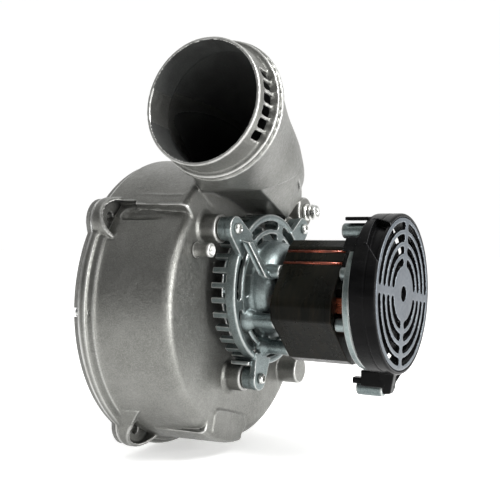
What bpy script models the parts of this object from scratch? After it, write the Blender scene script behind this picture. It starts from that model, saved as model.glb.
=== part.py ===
"""Combustion fan: a die-cast blower scroll with an elbow outlet, driven by a vented shaded-pole motor.

World frame, +Z up. The motor shaft lies on the X axis. x = 0 is the mounting plane (the back of the
inlet gasket), and +X runs from the inlet through the motor to its fan cover. The outlet collar points
along -Y, tilted a little upwards. Every size below is in millimetres; MM turns the finished meshes into
metres once, at the end.
"""
import bpy
import bmesh
from math import cos, sin, pi, radians, sqrt, hypot, atan2, degrees
from mathutils import Matrix, Vector

MM = 0.001
GAP = 0.3
TURN_START = 1.7

# ---------------------------------------------------------------- driving dimensions
# housing drum: turned about an axis parallel to X that sits below the shaft
DRUM_Z = -12.0
FLANGE_BACK, FLANGE_FRONT, STEP_FRONT = 5.2, 10.0, 15.0
FLANGE_R, STEP_R = 103.5, 100.5
WALL_R_BACK, WALL_R_FRONT = 98.0, 93.5
FACE_X, FACE_R, FACE_FILLET = 67.5, 87.0, 6.5
WALL_T = 3.4
CAVITY_R_BACK, CAVITY_R_FRONT = 93.5, 89.0
CROWN_R, CROWN_FROM, CROWN_TO = 101.0, 32.0, 136.5     # upper sector that carries the duct
CROWN_TAPER_TO = 44.0                                   # it narrows from the flange to here
SHAFT_HOLE_R = 8.0
TAP = (-61.7, 28.0)                                     # hose barb on the front face, (y, z)
PORT, PORT_BOSS_R, PORT_BOSS_TOP = (74.0, 54.5), 11.6, 80.5
SPARE_BOSS, SPARE_BOSS_R, SPARE_BOSS_TOP = (60.0, -66.0), 10.0, 83.0
PAD_BACK, PAD_PROUD = 58.0, 1.2
PAD_LEFT = ((-43.0, -94.0), (-39.4, -83.5), (-37.0, -80.6), (-33.0, -80.6))
PAD_RIGHT = ((0.0, -90.4), (3.0, -98.0), (-3.0, -104.0), (-20.0, -103.0))
LEDGE_FROM, LEDGE_TO, LEDGE_R, LEDGE_BACK = 237.0, 268.0, 96.5, 28.0

# mounting ears round the flange: angle in the YZ plane (0 = +Y, 90 = +Z) about the drum axis
EAR_ANGLES = (141.7, 238.8, 301.2, 38.3)
EAR_RADIUS_FROM_AXIS, EAR_R, EAR_TOP = 94.8, 16.0, 24.0
EAR_POCKET_R, EAR_POCKET_FLOOR, EAR_HOLE_R, EAR_HOLE_AT = 13.6, 10.5, 3.2, 99.0
EAR_WEB = ((6.0, -61.5, -96.0), (6.0, -74.5, -79.5), (12.5, -61.5, -96.0), (29.0, -71.0, -78.8),
           (6.0, -59.0, -94.0), (6.0, -72.0, -77.5), (12.5, -59.0, -94.0), (29.0, -68.5, -76.8))
PLATE_SCREW_RADIUS, PLATE_SCREW_ANGLES = 98.4, (0.0, 95.0, 180.0, 270.0)
GASKET_T, INLET_PLATE_BACK, INLET_PLATE_FRONT, INLET_LIP_FRONT = 3.0, 3.3, 4.9, 13.0

# outlet duct
OUTLET_X, OUTLET_Y, OUTLET_Z = 103.5, -111.3, 114.8     # centre of the open end
OUTLET_TILT = 9.0
COLLAR_R, COLLAR_T, COLLAR_LENGTH = 38.1, 2.3, 20.3
BEAD_R, BEAD_W = 42.6, 3.4
SLOT_COUNT, SLOT_FIRST, SLOT_PITCH = 6, 25.0, -11.3
SLOT_LONG, SLOT_WIDE, SLOT_SETBACK = 10.4, 5.4, 11.2

# motor bracket, centred on the shaft
LUGS = ((-49.6, 41.8), (47.6, 41.4), (-18.6, -59.7))
LUG_R, LUG_HOLE_R, BOSS_R, BOSS_TOP = 8.2, 2.4, 9.6, 80.0
STAND_OFF_R = 7.8
PLATE_BACK, PLATE_FRONT = 87.0, 90.5
RING_OUT, RING_IN = 51.8, 47.3
FIN_COUNT, FIN_BACK, FIN_WIDE = 32, 72.5, 4.0
DOME_R, DOME_FRONT, DOME_WALL = 33.0, 105.5, 2.6
OUTER_SLOT, INNER_SLOT = (41.3, 47.2), (33.6, 38.2)
SLOT_GROUPS, SLOT_GROUP_SPAN, SLOT_GROUP_CENTRE = 6, 52.0, 101.0

# motor
STACK_BACK, STACK_FRONT = 111.0, 153.0
STACK_HALF = ((0.0, 34.0), (8.0, 34.0), (15.0, 30.0), (26.0, 15.8), (36.6, 2.4), (39.8, -2.6),
              (41.2, -7.4), (41.5, -16.8), (14.0, -44.0), (5.0, -47.5), (0.0, -47.5))
BOLTS = ((-32.0, -18.5), (-24.6, 13.0), (24.6, 13.0), (32.0, -18.5))
BOLT_R, BOLT_HOLE_R = 2.0, 2.4
POST_R, POST_BACK, SPARE_POST = 4.9, 88.2, (-11.5, -38.6)
BAR_TOP, BAR_BOTTOM, BAR_HALF_X, BAR_HALF_Y = (94.8, -43.0, 33.8), (101.6, -31.5, 10.4), 3.1, 3.0
BAR_FRAME, BAR_RECESS = 1.4, 0.8                        # frame round the recess in its side, and its depth
WINDOW, COIL_ROWS = (-12.5, 3.5), (-11.6, -1.6)
BORE_R, ROTOR_R, SHAFT_R = 24.3, 23.8, 4.0
BEARING_OUT, BEARING_IN = 10.0, 4.3
SHIELD_Z, SHIELD_R, SHIELD_BACK, SHIELD_FRONT = -4.0, 46.0, 162.2, 165.4
SHIELD_VENTS = ((0.0, 9.0), (90.0, 20.0), (180.0, 9.0), (270.0, 24.0))   # middle and half span, degrees

# fan cover and grille
COVER_EARS = ((-14.0, 40.4), (12.0, -65.0))
COVER_R, COVER_T, COVER_BACK, COVER_FRONT, COVER_RIM = 51.6, 2.3, 169.0, 183.0, 185.7
# corners (x, angle) of the notch in the cover's side, and the radius of its floor
NOTCH, NOTCH_FLOOR_R = ((174.0, 111.0), (176.7, 141.0), (188.0, 156.0), (188.0, 120.0)), 46.6
GRILLE_R, GRILLE_BACK, GRILLE_FRONT = 49.0, 183.3, 186.0
GRILLE_SLOTS = ((41.0, 46.0), (33.3, 38.3), (25.6, 30.6), (17.9, 22.9))
GRILLE_SPOKE, GRILLE_TURN, GRILLE_HUB_HOLE = 4.4, -8.0, 5.0

WEDGE = ((170.0, -6.0, -46.0), (183.2, -8.0, -46.0), (170.0, 14.0, -46.0), (183.2, 14.0, -46.0),
         (172.5, -2.0, -65.5), (172.5, 8.0, -65.5), (177.5, -2.0, -65.0), (177.5, 4.0, -65.0))

# blower wheel
WHEEL_R, BLADE_IN, WHEEL_BACK, WHEEL_FRONT = 68.0, 54.0, 18.0, 59.0
BLADE_COUNT, BLADE_T = 20, 1.4
INLET_R = 46.0


# ---------------------------------------------------------------- helpers
def clear_scene():
    for item in list(bpy.data.objects):
        bpy.data.objects.remove(item, do_unlink=True)


def material(name, colour, roughness, metallic):
    made = bpy.data.materials.new(name)
    made.use_nodes = True
    shader = made.node_tree.nodes["Principled BSDF"]
    shader.inputs["Base Color"].default_value = (*colour, 1.0)
    shader.inputs["Roughness"].default_value = roughness
    shader.inputs["Metallic"].default_value = metallic
    made.diffuse_color = (*colour, 1.0)
    return made


def to_object(name, bm, look=None):
    """Closed bmesh to an object, still in millimetres, faces turned outwards."""
    bmesh.ops.recalc_face_normals(bm, faces=bm.faces)
    mesh = bpy.data.meshes.new(name)
    bm.to_mesh(mesh)
    bm.free()
    made = bpy.data.objects.new(name, mesh)
    bpy.context.scene.collection.objects.link(made)
    if look is not None:
        mesh.materials.append(look)
    return made


def polar(radius, angle, centre=(0.0, 0.0)):
    """(y, z) of a point at an angle in degrees, 0 along +Y and 90 along +Z."""
    return centre[0] + radius * cos(radians(angle)), centre[1] + radius * sin(radians(angle))


def turned(name, profile, segments, centre=(0.0, 0.0), look=None):
    """Closed outline of (x, radius) points turned about a line parallel to X.

    The turn starts a little off 0 degrees, so no edge meets a corner of a piece set on a whole angle.
    """
    bm = bmesh.new()
    rings = []
    for x, radius in profile:
        if radius < 1e-6:
            rings.append([bm.verts.new((x, *centre))] * segments)
        else:
            points = (polar(radius, TURN_START + 360.0 * k / segments, centre) for k in range(segments))
            rings.append([bm.verts.new((x, y, z)) for y, z in points])
    for first, second in zip(rings, rings[1:] + rings[:1]):
        for k in range(segments):
            m = (k + 1) % segments
            corners = []
            for vert in (first[k], first[m], second[m], second[k]):
                if vert not in corners:
                    corners.append(vert)
            if len(corners) > 2:
                bm.faces.new(corners)
    return to_object(name, bm, look)


def rod(name, radius, x0, x1, segments, centre=(0.0, 0.0), look=None):
    return turned(name, [(x0, 0.0), (x0, radius), (x1, radius), (x1, 0.0)], segments, centre, look)


def tube(name, outer, inner, x0, x1, segments, centre=(0.0, 0.0), look=None):
    return turned(name, [(x0, inner), (x0, outer), (x1, outer), (x1, inner)], segments, centre, look)


def prism(name, outline, x0, x1, look=None):
    """Outline of (y, z) points extruded from x0 to x1."""
    bm = bmesh.new()
    back = [bm.verts.new((x0, y, z)) for y, z in outline]
    front = [bm.verts.new((x1, y, z)) for y, z in outline]
    bm.faces.new(back)
    bm.faces.new(front)
    for k in range(len(outline)):
        m = (k + 1) % len(outline)
        bm.faces.new((back[k], back[m], front[m], front[k]))
    return to_object(name, bm, look)


def block(name, x, y, z, look=None):
    outline = [(y[0], z[0]), (y[1], z[0]), (y[1], z[1]), (y[0], z[1])]
    return prism(name, outline, x[0], x[1], look)


def hull(name, points, look=None):
    bm = bmesh.new()
    for point in points:
        bm.verts.new(point)
    result = bmesh.ops.convex_hull(bm, input=bm.verts)
    bmesh.ops.delete(bm, geom=result["geom_interior"], context="VERTS")
    return to_object(name, bm, look)


def sector(inner, outer, start, end, step=6.0, centre=(0.0, 0.0)):
    """Outline of a ring segment between two angles."""
    count = max(2, int(abs(end - start) / step))
    angles = [start + (end - start) * k / count for k in range(count + 1)]
    outside = [polar(outer, a, centre) for a in angles]
    inside = [polar(inner, a, centre) for a in reversed(angles)]
    return outside + inside


def arc_slot(inner, outer, start, end, step=12.0, end_steps=2):
    """Outline of a ring slot with round ends."""
    middle, half = (inner + outer) / 2, (outer - inner) / 2
    count = max(2, int((end - start) / step))
    angles = [start + (end - start) * k / count for k in range(count + 1)]
    points = [polar(outer, a) for a in angles]
    for k in range(1, end_steps):
        turn = pi * k / end_steps
        y, z = polar(middle + half * cos(turn), end)
        away = half * sin(turn)
        points.append((y - away * sin(radians(end)), z + away * cos(radians(end))))
    points += [polar(inner, a) for a in reversed(angles)]
    for k in range(1, end_steps):
        turn = pi * k / end_steps
        y, z = polar(middle - half * cos(turn), start)
        away = half * sin(turn)
        points.append((y + away * sin(radians(start)), z - away * cos(radians(start))))
    return points


def combine(base, tools, operation):
    """Boolean the tools into the base, in order, and bake the result into its mesh."""
    for tool in tools:
        step = base.modifiers.new(operation, "BOOLEAN")
        step.operation = operation
        step.object = tool
    graph = bpy.context.evaluated_depsgraph_get()
    baked = bpy.data.meshes.new_from_object(base.evaluated_get(graph))
    base.modifiers.clear()
    base.data = baked
    for tool in tools:
        bpy.data.objects.remove(tool, do_unlink=True)
    return base


def join(base, *tools):
    return combine(base, tools, "UNION")


def cut(base, *tools):
    return combine(base, tools, "DIFFERENCE")


def smooth(made, angle=32.0):
    made.data.shade_smooth()
    made.data.set_sharp_from_angle(angle=radians(angle))
    return made


# ---------------------------------------------------------------- outlet duct
OUT_DIR = Vector((0.0, -cos(radians(OUTLET_TILT)), sin(radians(OUTLET_TILT))))
OUT_UP = Vector((0.0, sin(radians(OUTLET_TILT)), cos(radians(OUTLET_TILT))))
OUT_CENTRE = Vector((OUTLET_X, OUTLET_Y, OUTLET_Z))

# duct sections from behind the bead down into the drum: centre, tilt of the section, half width, half height
DUCT = (((103.5, -91.2, 111.6), 9.0, 40.4, 40.4),
        ((97.0, -66.0, 105.0), 21.0, 36.5, 40.5),
        ((88.0, -38.0, 95.0), 38.0, 33.5, 41.5),
        ((78.0, -8.0, 81.5), 56.0, 34.5, 44.0),
        ((62.0, 22.0, 66.0), 71.0, 35.0, 46.0),
        ((44.0, 34.0, 44.0), 80.0, 22.0, 50.0),
        ((36.0, 36.0, 24.0), 88.0, 22.0, 48.0))
CLEAR_R = 53.2               # the duct keeps this far from the shaft in front of the face
# front corners of the faceted web that ties the elbow to the face and the port boss
GUSSET_FACE = ((106.0, -45.2, 66.8), (109.5, 1.0, 78.6), (82.0, 58.0, 65.0), (84.0, 36.0, 49.6))
GUSSET = (*GUSSET_FACE, (66.0, 60.0, 50.0), (66.0, 10.0, 56.0), (66.0, -20.0, 66.0), (66.0, 64.0, 84.0),
          (62.0, 78.0, 62.0), (62.0, 78.0, 76.0), (100.0, 26.5, 83.9), (80.0, 68.6, 66.1), (96.0, -20.0, 90.0))
# space kept free under the elbow beside the motor bracket, seen along the shaft
UNDER_DUCT = ((-130.0, 0.0), (-130.0, 66.4), (-40.0, 66.4), (-20.0, 62.0), (5.0, 52.5), (5.0, 0.0))


def duct_ring(centre, tilt, half_x, half_up, segments):
    up = Vector((0.0, sin(radians(tilt)), cos(radians(tilt))))
    side = Vector((1.0, 0.0, 0.0))
    turns = (2 * pi * k / segments for k in range(segments))
    return [Vector(centre) + side * half_x * cos(t) + up * half_up * sin(t) for t in turns]


def loft(name, rings):
    bm = bmesh.new()
    verts = [[bm.verts.new(point) for point in ring] for ring in rings]
    for first, second in zip(verts, verts[1:]):
        for k in range(len(first)):
            m = (k + 1) % len(first)
            bm.faces.new((first[k], first[m], second[m], second[k]))
    bm.faces.new(verts[0])
    bm.faces.new(list(reversed(verts[-1])))
    return to_object(name, bm)


def smooth_sections(shrink, steps=2):
    """Catmull-Rom blend of the duct's driving sections, so the elbow bends evenly."""
    rows = [(*centre, tilt, half_x - shrink, half_up - shrink) for centre, tilt, half_x, half_up in DUCT]
    made = []
    for k in range(len(rows) - 1):
        before, start = rows[max(k - 1, 0)], rows[k]
        end, after = rows[k + 1], rows[min(k + 2, len(rows) - 1)]
        for step in range(steps):
            t = step / steps
            made.append([0.5 * (2 * b + (c - a) * t + (2 * a - 5 * b + 4 * c - d) * t * t
                                + (3 * b - 3 * c + d - a) * t ** 3)
                         for a, b, c, d in zip(before, start, end, after)])
    made.append(rows[-1])
    return [(tuple(row[:3]), row[3], row[4], row[5]) for row in made]


def collar_solid(name, outer, start, end, segments):
    """Plain cylinder along the outlet direction, from start to end behind the open end."""
    rings = []
    for back in (start, end):
        centre = OUT_CENTRE - OUT_DIR * back
        rings.append(duct_ring(centre, OUTLET_TILT, outer, outer, segments))
    return loft(name, rings)


# ---------------------------------------------------------------- housing
def drum_profile():
    fillet_steps = 3
    points = [(FLANGE_BACK, 0.0), (FLANGE_BACK, FLANGE_R), (FLANGE_FRONT, FLANGE_R),
              (FLANGE_FRONT, STEP_R), (STEP_FRONT, STEP_R), (STEP_FRONT, WALL_R_BACK)]
    corner_x = FACE_X - FACE_FILLET
    for k in range(fillet_steps + 1):
        turn = pi / 2 * k / fillet_steps
        points.append((corner_x + FACE_FILLET * sin(turn), FACE_R + (WALL_R_FRONT - FACE_R) * cos(turn)))
    points.append((FACE_X, 0.0))
    return points


def cavity_profile():
    inside = FACE_X - WALL_T
    return [(FLANGE_BACK - 2.0, 0.0), (FLANGE_BACK - 2.0, CAVITY_R_BACK), (STEP_FRONT, CAVITY_R_BACK),
            (inside - 5.0, CAVITY_R_FRONT), (inside, CAVITY_R_FRONT - 5.0), (inside, 0.0)]


def pocket_core():
    """Drum wall left standing beside an ear's screw pocket, bitten into only at the pocket's foot."""
    return [(0.0, 0.0), (0.0, WALL_R_BACK - 2.5), (STEP_FRONT - 2.5, WALL_R_BACK - 2.5),
            (STEP_FRONT - 2.5, WALL_R_BACK - 0.4), (40.0, WALL_R_BACK - 0.4), (40.0, 0.0)]


def ear_centres(radius=EAR_RADIUS_FROM_AXIS):
    return [polar(radius, angle, (0.0, DRUM_Z)) for angle in EAR_ANGLES]


def blower_housing(look):
    axis = (0.0, DRUM_Z)
    body = turned("blower_housing", drum_profile(), 64, axis, look)
    upper_arc = sector(40.0, CROWN_R, CROWN_FROM, CROWN_TO, 5.0, axis)
    crown = prism("crown", upper_arc, STEP_FRONT - 2.0, FACE_X - 0.01)
    back_arc = sector(40.0, FLANGE_R + 0.2, CROWN_FROM, CROWN_TO, 5.0, axis)
    taper = loft("taper", [[Vector((FLANGE_BACK + 0.02, y, z)) for y, z in back_arc],
                           [Vector((CROWN_TAPER_TO, y, z)) for y, z in upper_arc]])
    pad = hull("pad", pad_points())
    ledge = prism("ledge", sector(80.0, LEDGE_R, LEDGE_FROM, LEDGE_TO, 4.0, axis), LEDGE_BACK, FACE_X + 0.4)
    ears = [rod("ear", EAR_R, FLANGE_BACK + 0.02, EAR_TOP, 22, centre) for centre in ear_centres()]
    bosses = [rod("boss", BOSS_R, FACE_X - 5.0, BOSS_TOP, 18, centre) for centre in LUGS]
    bosses.append(rod("spare", SPARE_BOSS_R, 40.0, SPARE_BOSS_TOP, 16, SPARE_BOSS))
    bosses.append(rod("port", PORT_BOSS_R, 20.0, PORT_BOSS_TOP, 18, PORT))
    duct = loft("duct", [duct_ring(*row, 28) for row in smooth_sections(0.0)])
    cut(duct, *under_elbow(0.0))
    bead = collar_solid("bead", BEAD_R, COLLAR_LENGTH - BEAD_W / 2, COLLAR_LENGTH + BEAD_W / 2, 40)
    collar = collar_solid("collar", COLLAR_R, 0.0, COLLAR_LENGTH + 1.0, 40)
    gusset = hull("gusset", GUSSET)
    join(body, crown, taper, ledge, pad, hull("web", EAR_WEB), *ears, *bosses, duct, gusset, bead, collar)

    cavity = turned("cavity", cavity_profile(), 44, axis)
    columns = [rod("column", EAR_R - 0.4, 0.0, EAR_TOP + 8.0, 16, centre) for centre in ear_centres()]
    cut(cavity, *columns)
    way = loft("way", [duct_ring(*row, 20) for row in smooth_sections(WALL_T)[:-1]])
    cut(way, *under_elbow(WALL_T))
    bore = collar_solid("bore", COLLAR_R - COLLAR_T, -5.0, COLLAR_LENGTH + 2.0, 32)
    shaft_hole = rod("shaft_hole", SHAFT_HOLE_R, 50.0, FACE_X + 5.0, 16)
    pockets, holes = [], []
    for centre in ear_centres():
        pocket = rod("pocket", EAR_POCKET_R, EAR_POCKET_FLOOR, EAR_TOP + 4.0, 18, centre)
        pockets.append(cut(pocket, turned("core", pocket_core(), 56, axis)))
    for centre in ear_centres(EAR_HOLE_AT):
        holes.append(rod("hole", EAR_HOLE_R, 0.0, EAR_POCKET_FLOOR + 2.0, 12, centre))
    screws = [rod("tap", LUG_HOLE_R - 0.1, 70.6, BOSS_TOP + 2.0, 10, centre) for centre in LUGS]
    plate_taps = [rod("tap", 1.7, 0.0, 12.5, 10, centre) for centre in plate_screw_centres()]
    tap_hole = rod("tap_hole", 3.4, 60.0, FACE_X + 3.0, 16, TAP)
    port_hole = rod("port_hole", 3.4, 62.0, 84.0, 16, PORT)
    cut(body, cavity, way, bore, shaft_hole, *pockets, *holes, *screws, *plate_taps, tap_hole, port_hole)
    cut(body, *collar_slots())
    return smooth(body, 30.0)


def under_elbow(wall):
    """Cutters that keep the elbow, or its passage one wall further in, clear of the motor and of the web's face."""
    back, front = FACE_X + GAP - wall, 130.0
    below = prism("below", [(y, z + wall if z else z) for y, z in UNDER_DUCT], back, front)
    ahead = []
    for corner in GUSSET_FACE:
        inwards = Vector(corner) + Vector((-0.80, -0.09, 0.60)) * wall
        for spread in (-wall, wall):
            ahead.append(inwards + Vector((0.0, spread, 0.0)))
            ahead.append(inwards + Vector((40.0, spread, -55.0)))
    clearance = rod("clearance", CLEAR_R + wall, back, front, 44)
    return clearance, below, hull("ahead", ahead)


def pad_points():
    """Flat pad at the foot of the face: proud on its left, running out into the face on its right."""
    points = [(x, y, z) for y, z in PAD_LEFT for x in (PAD_BACK, FACE_X + PAD_PROUD)]
    return points + [(x, y, z) for y, z in PAD_RIGHT for x in (PAD_BACK, FACE_X + 0.5)]


def collar_slots():
    made = []
    for k in range(SLOT_COUNT):
        turn = radians(SLOT_FIRST + SLOT_PITCH * k)
        out = Vector((cos(turn), 0.0, 0.0)) + OUT_UP * sin(turn)
        across = OUT_DIR.cross(out)
        middle = OUT_CENTRE - OUT_DIR * SLOT_SETBACK
        corners = []
        for along in (-SLOT_LONG / 2, SLOT_LONG / 2):
            for side in (-SLOT_WIDE / 2, SLOT_WIDE / 2):
                for depth in (COLLAR_R - 5.0, COLLAR_R + 3.0):
                    corners.append(middle + OUT_DIR * along + across * side + out * depth)
        made.append(hull("slot", corners))
    return made


def plate_screw_centres():
    return [polar(PLATE_SCREW_RADIUS, angle, (0.0, DRUM_Z)) for angle in PLATE_SCREW_ANGLES]


def eared_outline(radius, ear_radius, segments):
    """Round outline about the drum axis that swells out round each mounting ear."""
    outline = []
    for k in range(segments):
        angle = 360.0 * k / segments
        reach = radius
        for ear in EAR_ANGLES:
            off = radians(angle - ear)
            square = ear_radius ** 2 - (EAR_RADIUS_FROM_AXIS * sin(off)) ** 2
            if square > 0 and cos(off) > 0:
                reach = max(reach, EAR_RADIUS_FROM_AXIS * cos(off) + sqrt(square))
        outline.append(polar(reach, angle, (0.0, DRUM_Z)))
    return outline


def inlet_gasket(look):
    body = prism("inlet_gasket", eared_outline(FLANGE_R - 2.0, EAR_R - 1.0, 72), 0.0, GASKET_T, look)
    holes = [rod("hole", EAR_HOLE_R + 0.3, -1.0, 4.0, 12, centre) for centre in ear_centres(EAR_HOLE_AT)]
    heads = [rod("head", 4.2, -1.0, 4.0, 10, centre) for centre in plate_screw_centres()]
    return cut(body, rod("orifice", INLET_R + 5.0, -1.0, 4.0, 36), *holes, *heads)


def inlet_plate(look):
    """Steel orifice plate whose lip is rolled into the wheel's eye."""
    outline = eared_outline(FLANGE_R - 1.0, EAR_R - 0.6, 72)
    body = prism("inlet_plate", outline, INLET_PLATE_BACK, INLET_PLATE_FRONT, look)
    lip = tube("lip", INLET_R + 1.6, INLET_R, 4.1, INLET_LIP_FRONT, 36)
    holes = [rod("hole", EAR_HOLE_R, 0.0, 8.0, 14, centre) for centre in ear_centres(EAR_HOLE_AT)]
    screws = [rod("screw", 2.0, 0.0, 8.0, 10, centre) for centre in plate_screw_centres()]
    cut(body, rod("orifice", INLET_R + 0.8, 0.0, 8.0, 36), *holes, *screws)
    return smooth(join(body, lip))


def plate_screws(look):
    for k, centre in enumerate(plate_screw_centres()):
        profile = [(0.8, 0.0), (0.8, 3.4), (3.0, 3.4), (3.0, 1.4), (12.0, 1.4), (12.0, 0.0)]
        smooth(turned(f"inlet_plate_screw_{k + 1}", profile, 10, centre, look))


def pressure_tap(look):
    """Hose barb pressed into the front face."""
    profile = [(62.0, 1.6), (62.0, 3.1), (FACE_X + GAP, 3.1), (FACE_X + GAP, 4.6), (72.5, 4.6), (73.5, 3.8),
               (76.0, 3.8), (76.4, 4.4), (80.0, 3.2), (80.0, 1.6)]
    return smooth(turned("pressure_tap", profile, 16, TAP, look))


def boss_port(look):
    """Ribbed push-in port on the far upper boss."""
    profile = [(66.0, 1.8), (66.0, 3.1), (80.5 + GAP, 3.1), (80.5 + GAP, 6.4), (83.0, 6.4), (83.0, 5.0),
               (84.6, 5.0), (84.6, 5.9), (86.2, 5.9), (86.2, 5.0), (87.6, 5.0), (88.0, 5.6), (90.5, 4.6),
               (90.5, 1.8)]
    return smooth(turned("boss_port", profile, 18, PORT, look))


def shaft_seal(look):
    profile = [(FACE_X + GAP, SHAFT_R + 0.35), (FACE_X + GAP, 15.0), (69.8, 15.0), (70.4, 9.0),
               (70.4, SHAFT_R + 0.35)]
    return smooth(turned("shaft_seal", profile, 24, look=look))


# ---------------------------------------------------------------- motor bracket
def motor_bracket(look):
    """Vented die casting: finned ring, slotted plate, hub dome over the bearing seat, and three lugs."""
    seat_wall, seat_back, face_back = 13.5, 91.0, DOME_FRONT - 2.0
    outside = [(PLATE_FRONT, DOME_R), (96.5, DOME_R - 0.7), (101.0, DOME_R - 2.9), (104.4, DOME_R - 6.4),
               (DOME_FRONT, DOME_R - 9.2)]
    inside = [(x - 0.5 * DOME_WALL, radius - DOME_WALL) for x, radius in reversed(outside[1:-1])]
    profile = [(PLATE_BACK, DOME_R - DOME_WALL), (PLATE_BACK, RING_IN), (83.6, RING_IN), (83.6, RING_OUT),
               (PLATE_FRONT, RING_OUT), *outside, (DOME_FRONT, 8.6), (face_back, 8.6),
               (face_back, BEARING_OUT + GAP), (93.2, BEARING_OUT + GAP), (93.2, 6.0), (seat_back, 6.0),
               (seat_back, seat_wall), (102.6, seat_wall), *inside]
    body = turned("motor_bracket", profile, 40, look=look)
    lugs, fins, slots, holes = [], [], [], []
    for centre in LUGS:
        angle = degrees(atan2(centre[1], centre[0]))
        toe = [polar(LUG_R, angle + turn, centre) for turn in (-90, -54, -18, 18, 54, 90)]
        root = [polar(RING_IN - 0.5, angle + 13.0), polar(RING_IN - 0.5, angle - 13.0)]
        lugs.append(prism("lug", toe + root, PLATE_BACK, PLATE_FRONT + 0.8))
        lugs.append(rod("stand_off", STAND_OFF_R, BOSS_TOP + GAP, PLATE_FRONT - 1.0, 16, centre))
        holes.append(rod("lug_hole", LUG_HOLE_R, BOSS_TOP - 2.0, PLATE_FRONT + 5.0, 12, centre))
    for k in range(FIN_COUNT):
        angle = 360.0 * (k + 0.5) / FIN_COUNT
        half = degrees(FIN_WIDE / 2 / RING_OUT)
        outline = [polar(RING_IN + 0.2, angle - half), polar(RING_OUT - 0.3, angle - half),
                   polar(RING_OUT - 0.3, angle + half), polar(RING_IN + 0.2, angle + half)]
        if not blocked_by_boss(angle):
            fins.append(prism("fin", outline, FIN_BACK, 84.5))
    for k in range(SLOT_GROUPS):
        middle = SLOT_GROUP_CENTRE + 360.0 * k / SLOT_GROUPS
        half = SLOT_GROUP_SPAN / 2
        slots.append(prism("slot", arc_slot(*OUTER_SLOT, middle - half + 4, middle + half - 4), 80.0, 95.0))
        slots.append(prism("slot", arc_slot(*INNER_SLOT, middle - half + 6, middle - 2.6), 80.0, 95.0))
        slots.append(prism("slot", arc_slot(*INNER_SLOT, middle + 2.6, middle + half - 6), 80.0, 95.0))
    join(body, *lugs, *fins)
    cut(body, *slots)
    posts = [rod("post", POST_R, POST_BACK, STACK_BACK - GAP, 12, centre) for centre in (*BOLTS, SPARE_POST)]
    bar = cut(hull("bar", slanted_bar()), hull("sunk", slanted_bar(BAR_FRAME, -9.0, BAR_RECESS - BAR_HALF_Y)))
    leg = block("leg", (74.0, 88.0), (-29.0, -8.0), (-49.8, -47.2))
    join(body, *posts, bar, leg)
    threads = [rod("thread", BOLT_R + GAP, 93.5, STACK_BACK + 2.0, 10, centre) for centre in BOLTS]
    return smooth(cut(body, *holes, *threads), 28.0)


def blocked_by_boss(angle):
    """A fin is left out where a housing boss stands in its way."""
    y, z = polar((RING_IN + RING_OUT) / 2, angle)
    return any(hypot(y - c[0], z - c[1]) < BOSS_R + 4.2 for c in LUGS)


def slanted_bar(shrink=0.0, y_low=-BAR_HALF_Y, y_high=BAR_HALF_Y):
    """Corner points of the raised bar between the near lug and the hub dome."""
    half_x = BAR_HALF_X - shrink
    top, bottom = Vector(BAR_TOP), Vector(BAR_BOTTOM)
    along = (bottom - top).normalized()
    made = []
    for end in (top + along * shrink, bottom - along * shrink):
        for off_y in (y_low, y_high):
            for off_x in (-half_x, half_x):
                made.append(end + Vector((off_x, off_y, -off_x * 0.25)))
    return made


def bracket_screws(look):
    head = [(PLATE_FRONT + 0.8 + GAP, 0.0), (PLATE_FRONT + 0.8 + GAP, 3.6), (93.4, 3.6), (94.2, 2.8),
            (94.2, 1.6), (93.0, 1.4), (93.0, 0.0)]
    for k, centre in enumerate(LUGS):
        shank = rod("shank", 2.0, 74.0, 92.5, 12, centre)
        body = turned(f"bracket_screw_{k + 1}", head, 12, centre, look)
        smooth(join(body, shank))


# ---------------------------------------------------------------- motor
def stack_outline():
    left = [(-y, z) for y, z in STACK_HALF[1:-1]]
    right = [(y, z) for y, z in reversed(STACK_HALF[1:-1])]
    return left + right


def groove_frames():
    """Middle of each groove on the stack's upper shoulders, with its along and outward directions."""
    upper, lower = Vector((15.0, 30.0)), Vector((26.0, 15.8))
    for side in (-1, 1):
        along = (lower - upper).normalized()
        out = Vector((-along.y, along.x))
        for reach in (0.20, 0.72):
            middle = upper.lerp(lower, reach)
            yield [Vector((side * v.x, v.y)) for v in (middle, along, out)]


def groove_outline(frame, half, outer, inner):
    middle, along, out = frame
    corners = ((-half, outer), (half, outer), (half, -inner), (-half, -inner))
    return [tuple(middle + along * a + out * b) for a, b in corners]


def stator_stack(look):
    body = prism("stator_stack", stack_outline(), STACK_BACK, STACK_FRONT, look)
    tools = [rod("bore", BORE_R, 100.0, 160.0, 32)]
    tools += [rod("hole", BOLT_HOLE_R, 100.0, 160.0, 12, centre) for centre in BOLTS]
    tools += [block("window", (100.0, 160.0), sorted((side * 22.0, side * 33.0)), WINDOW) for side in (-1, 1)]
    tools += [prism("groove", groove_outline(frame, 1.3, 1.5, 1.8), 100.0, 160.0)
              for frame in groove_frames()]
    return smooth(cut(body, *tools), 20.0)


def shading_bars(look):
    """Copper bars laid in the stack's outer grooves."""
    for k, frame in enumerate(groove_frames()):
        outline = groove_outline(frame, 0.95, -0.2, 1.4)
        prism(f"shading_bar_{k + 1}", outline, STACK_BACK + 0.4, STACK_FRONT - 0.4, look)


def stator_coil(look):
    """The winding: it passes both windows and loops under the rotor past each end of the stack."""
    body = prism("stator_coil", sector(25.6, 28.9, -172.0, -8.0, 12.0), 106.0, STACK_BACK - GAP, look)
    rear = prism("rear", sector(25.6, 31.5, -172.0, -8.0, 12.0), STACK_FRONT + GAP, 157.6)
    legs = [block("leg", (106.5, 157.0), sorted((side * 25.5, side * 31.0)), COIL_ROWS) for side in (-1, 1)]
    return smooth(join(body, rear, *legs))


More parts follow.
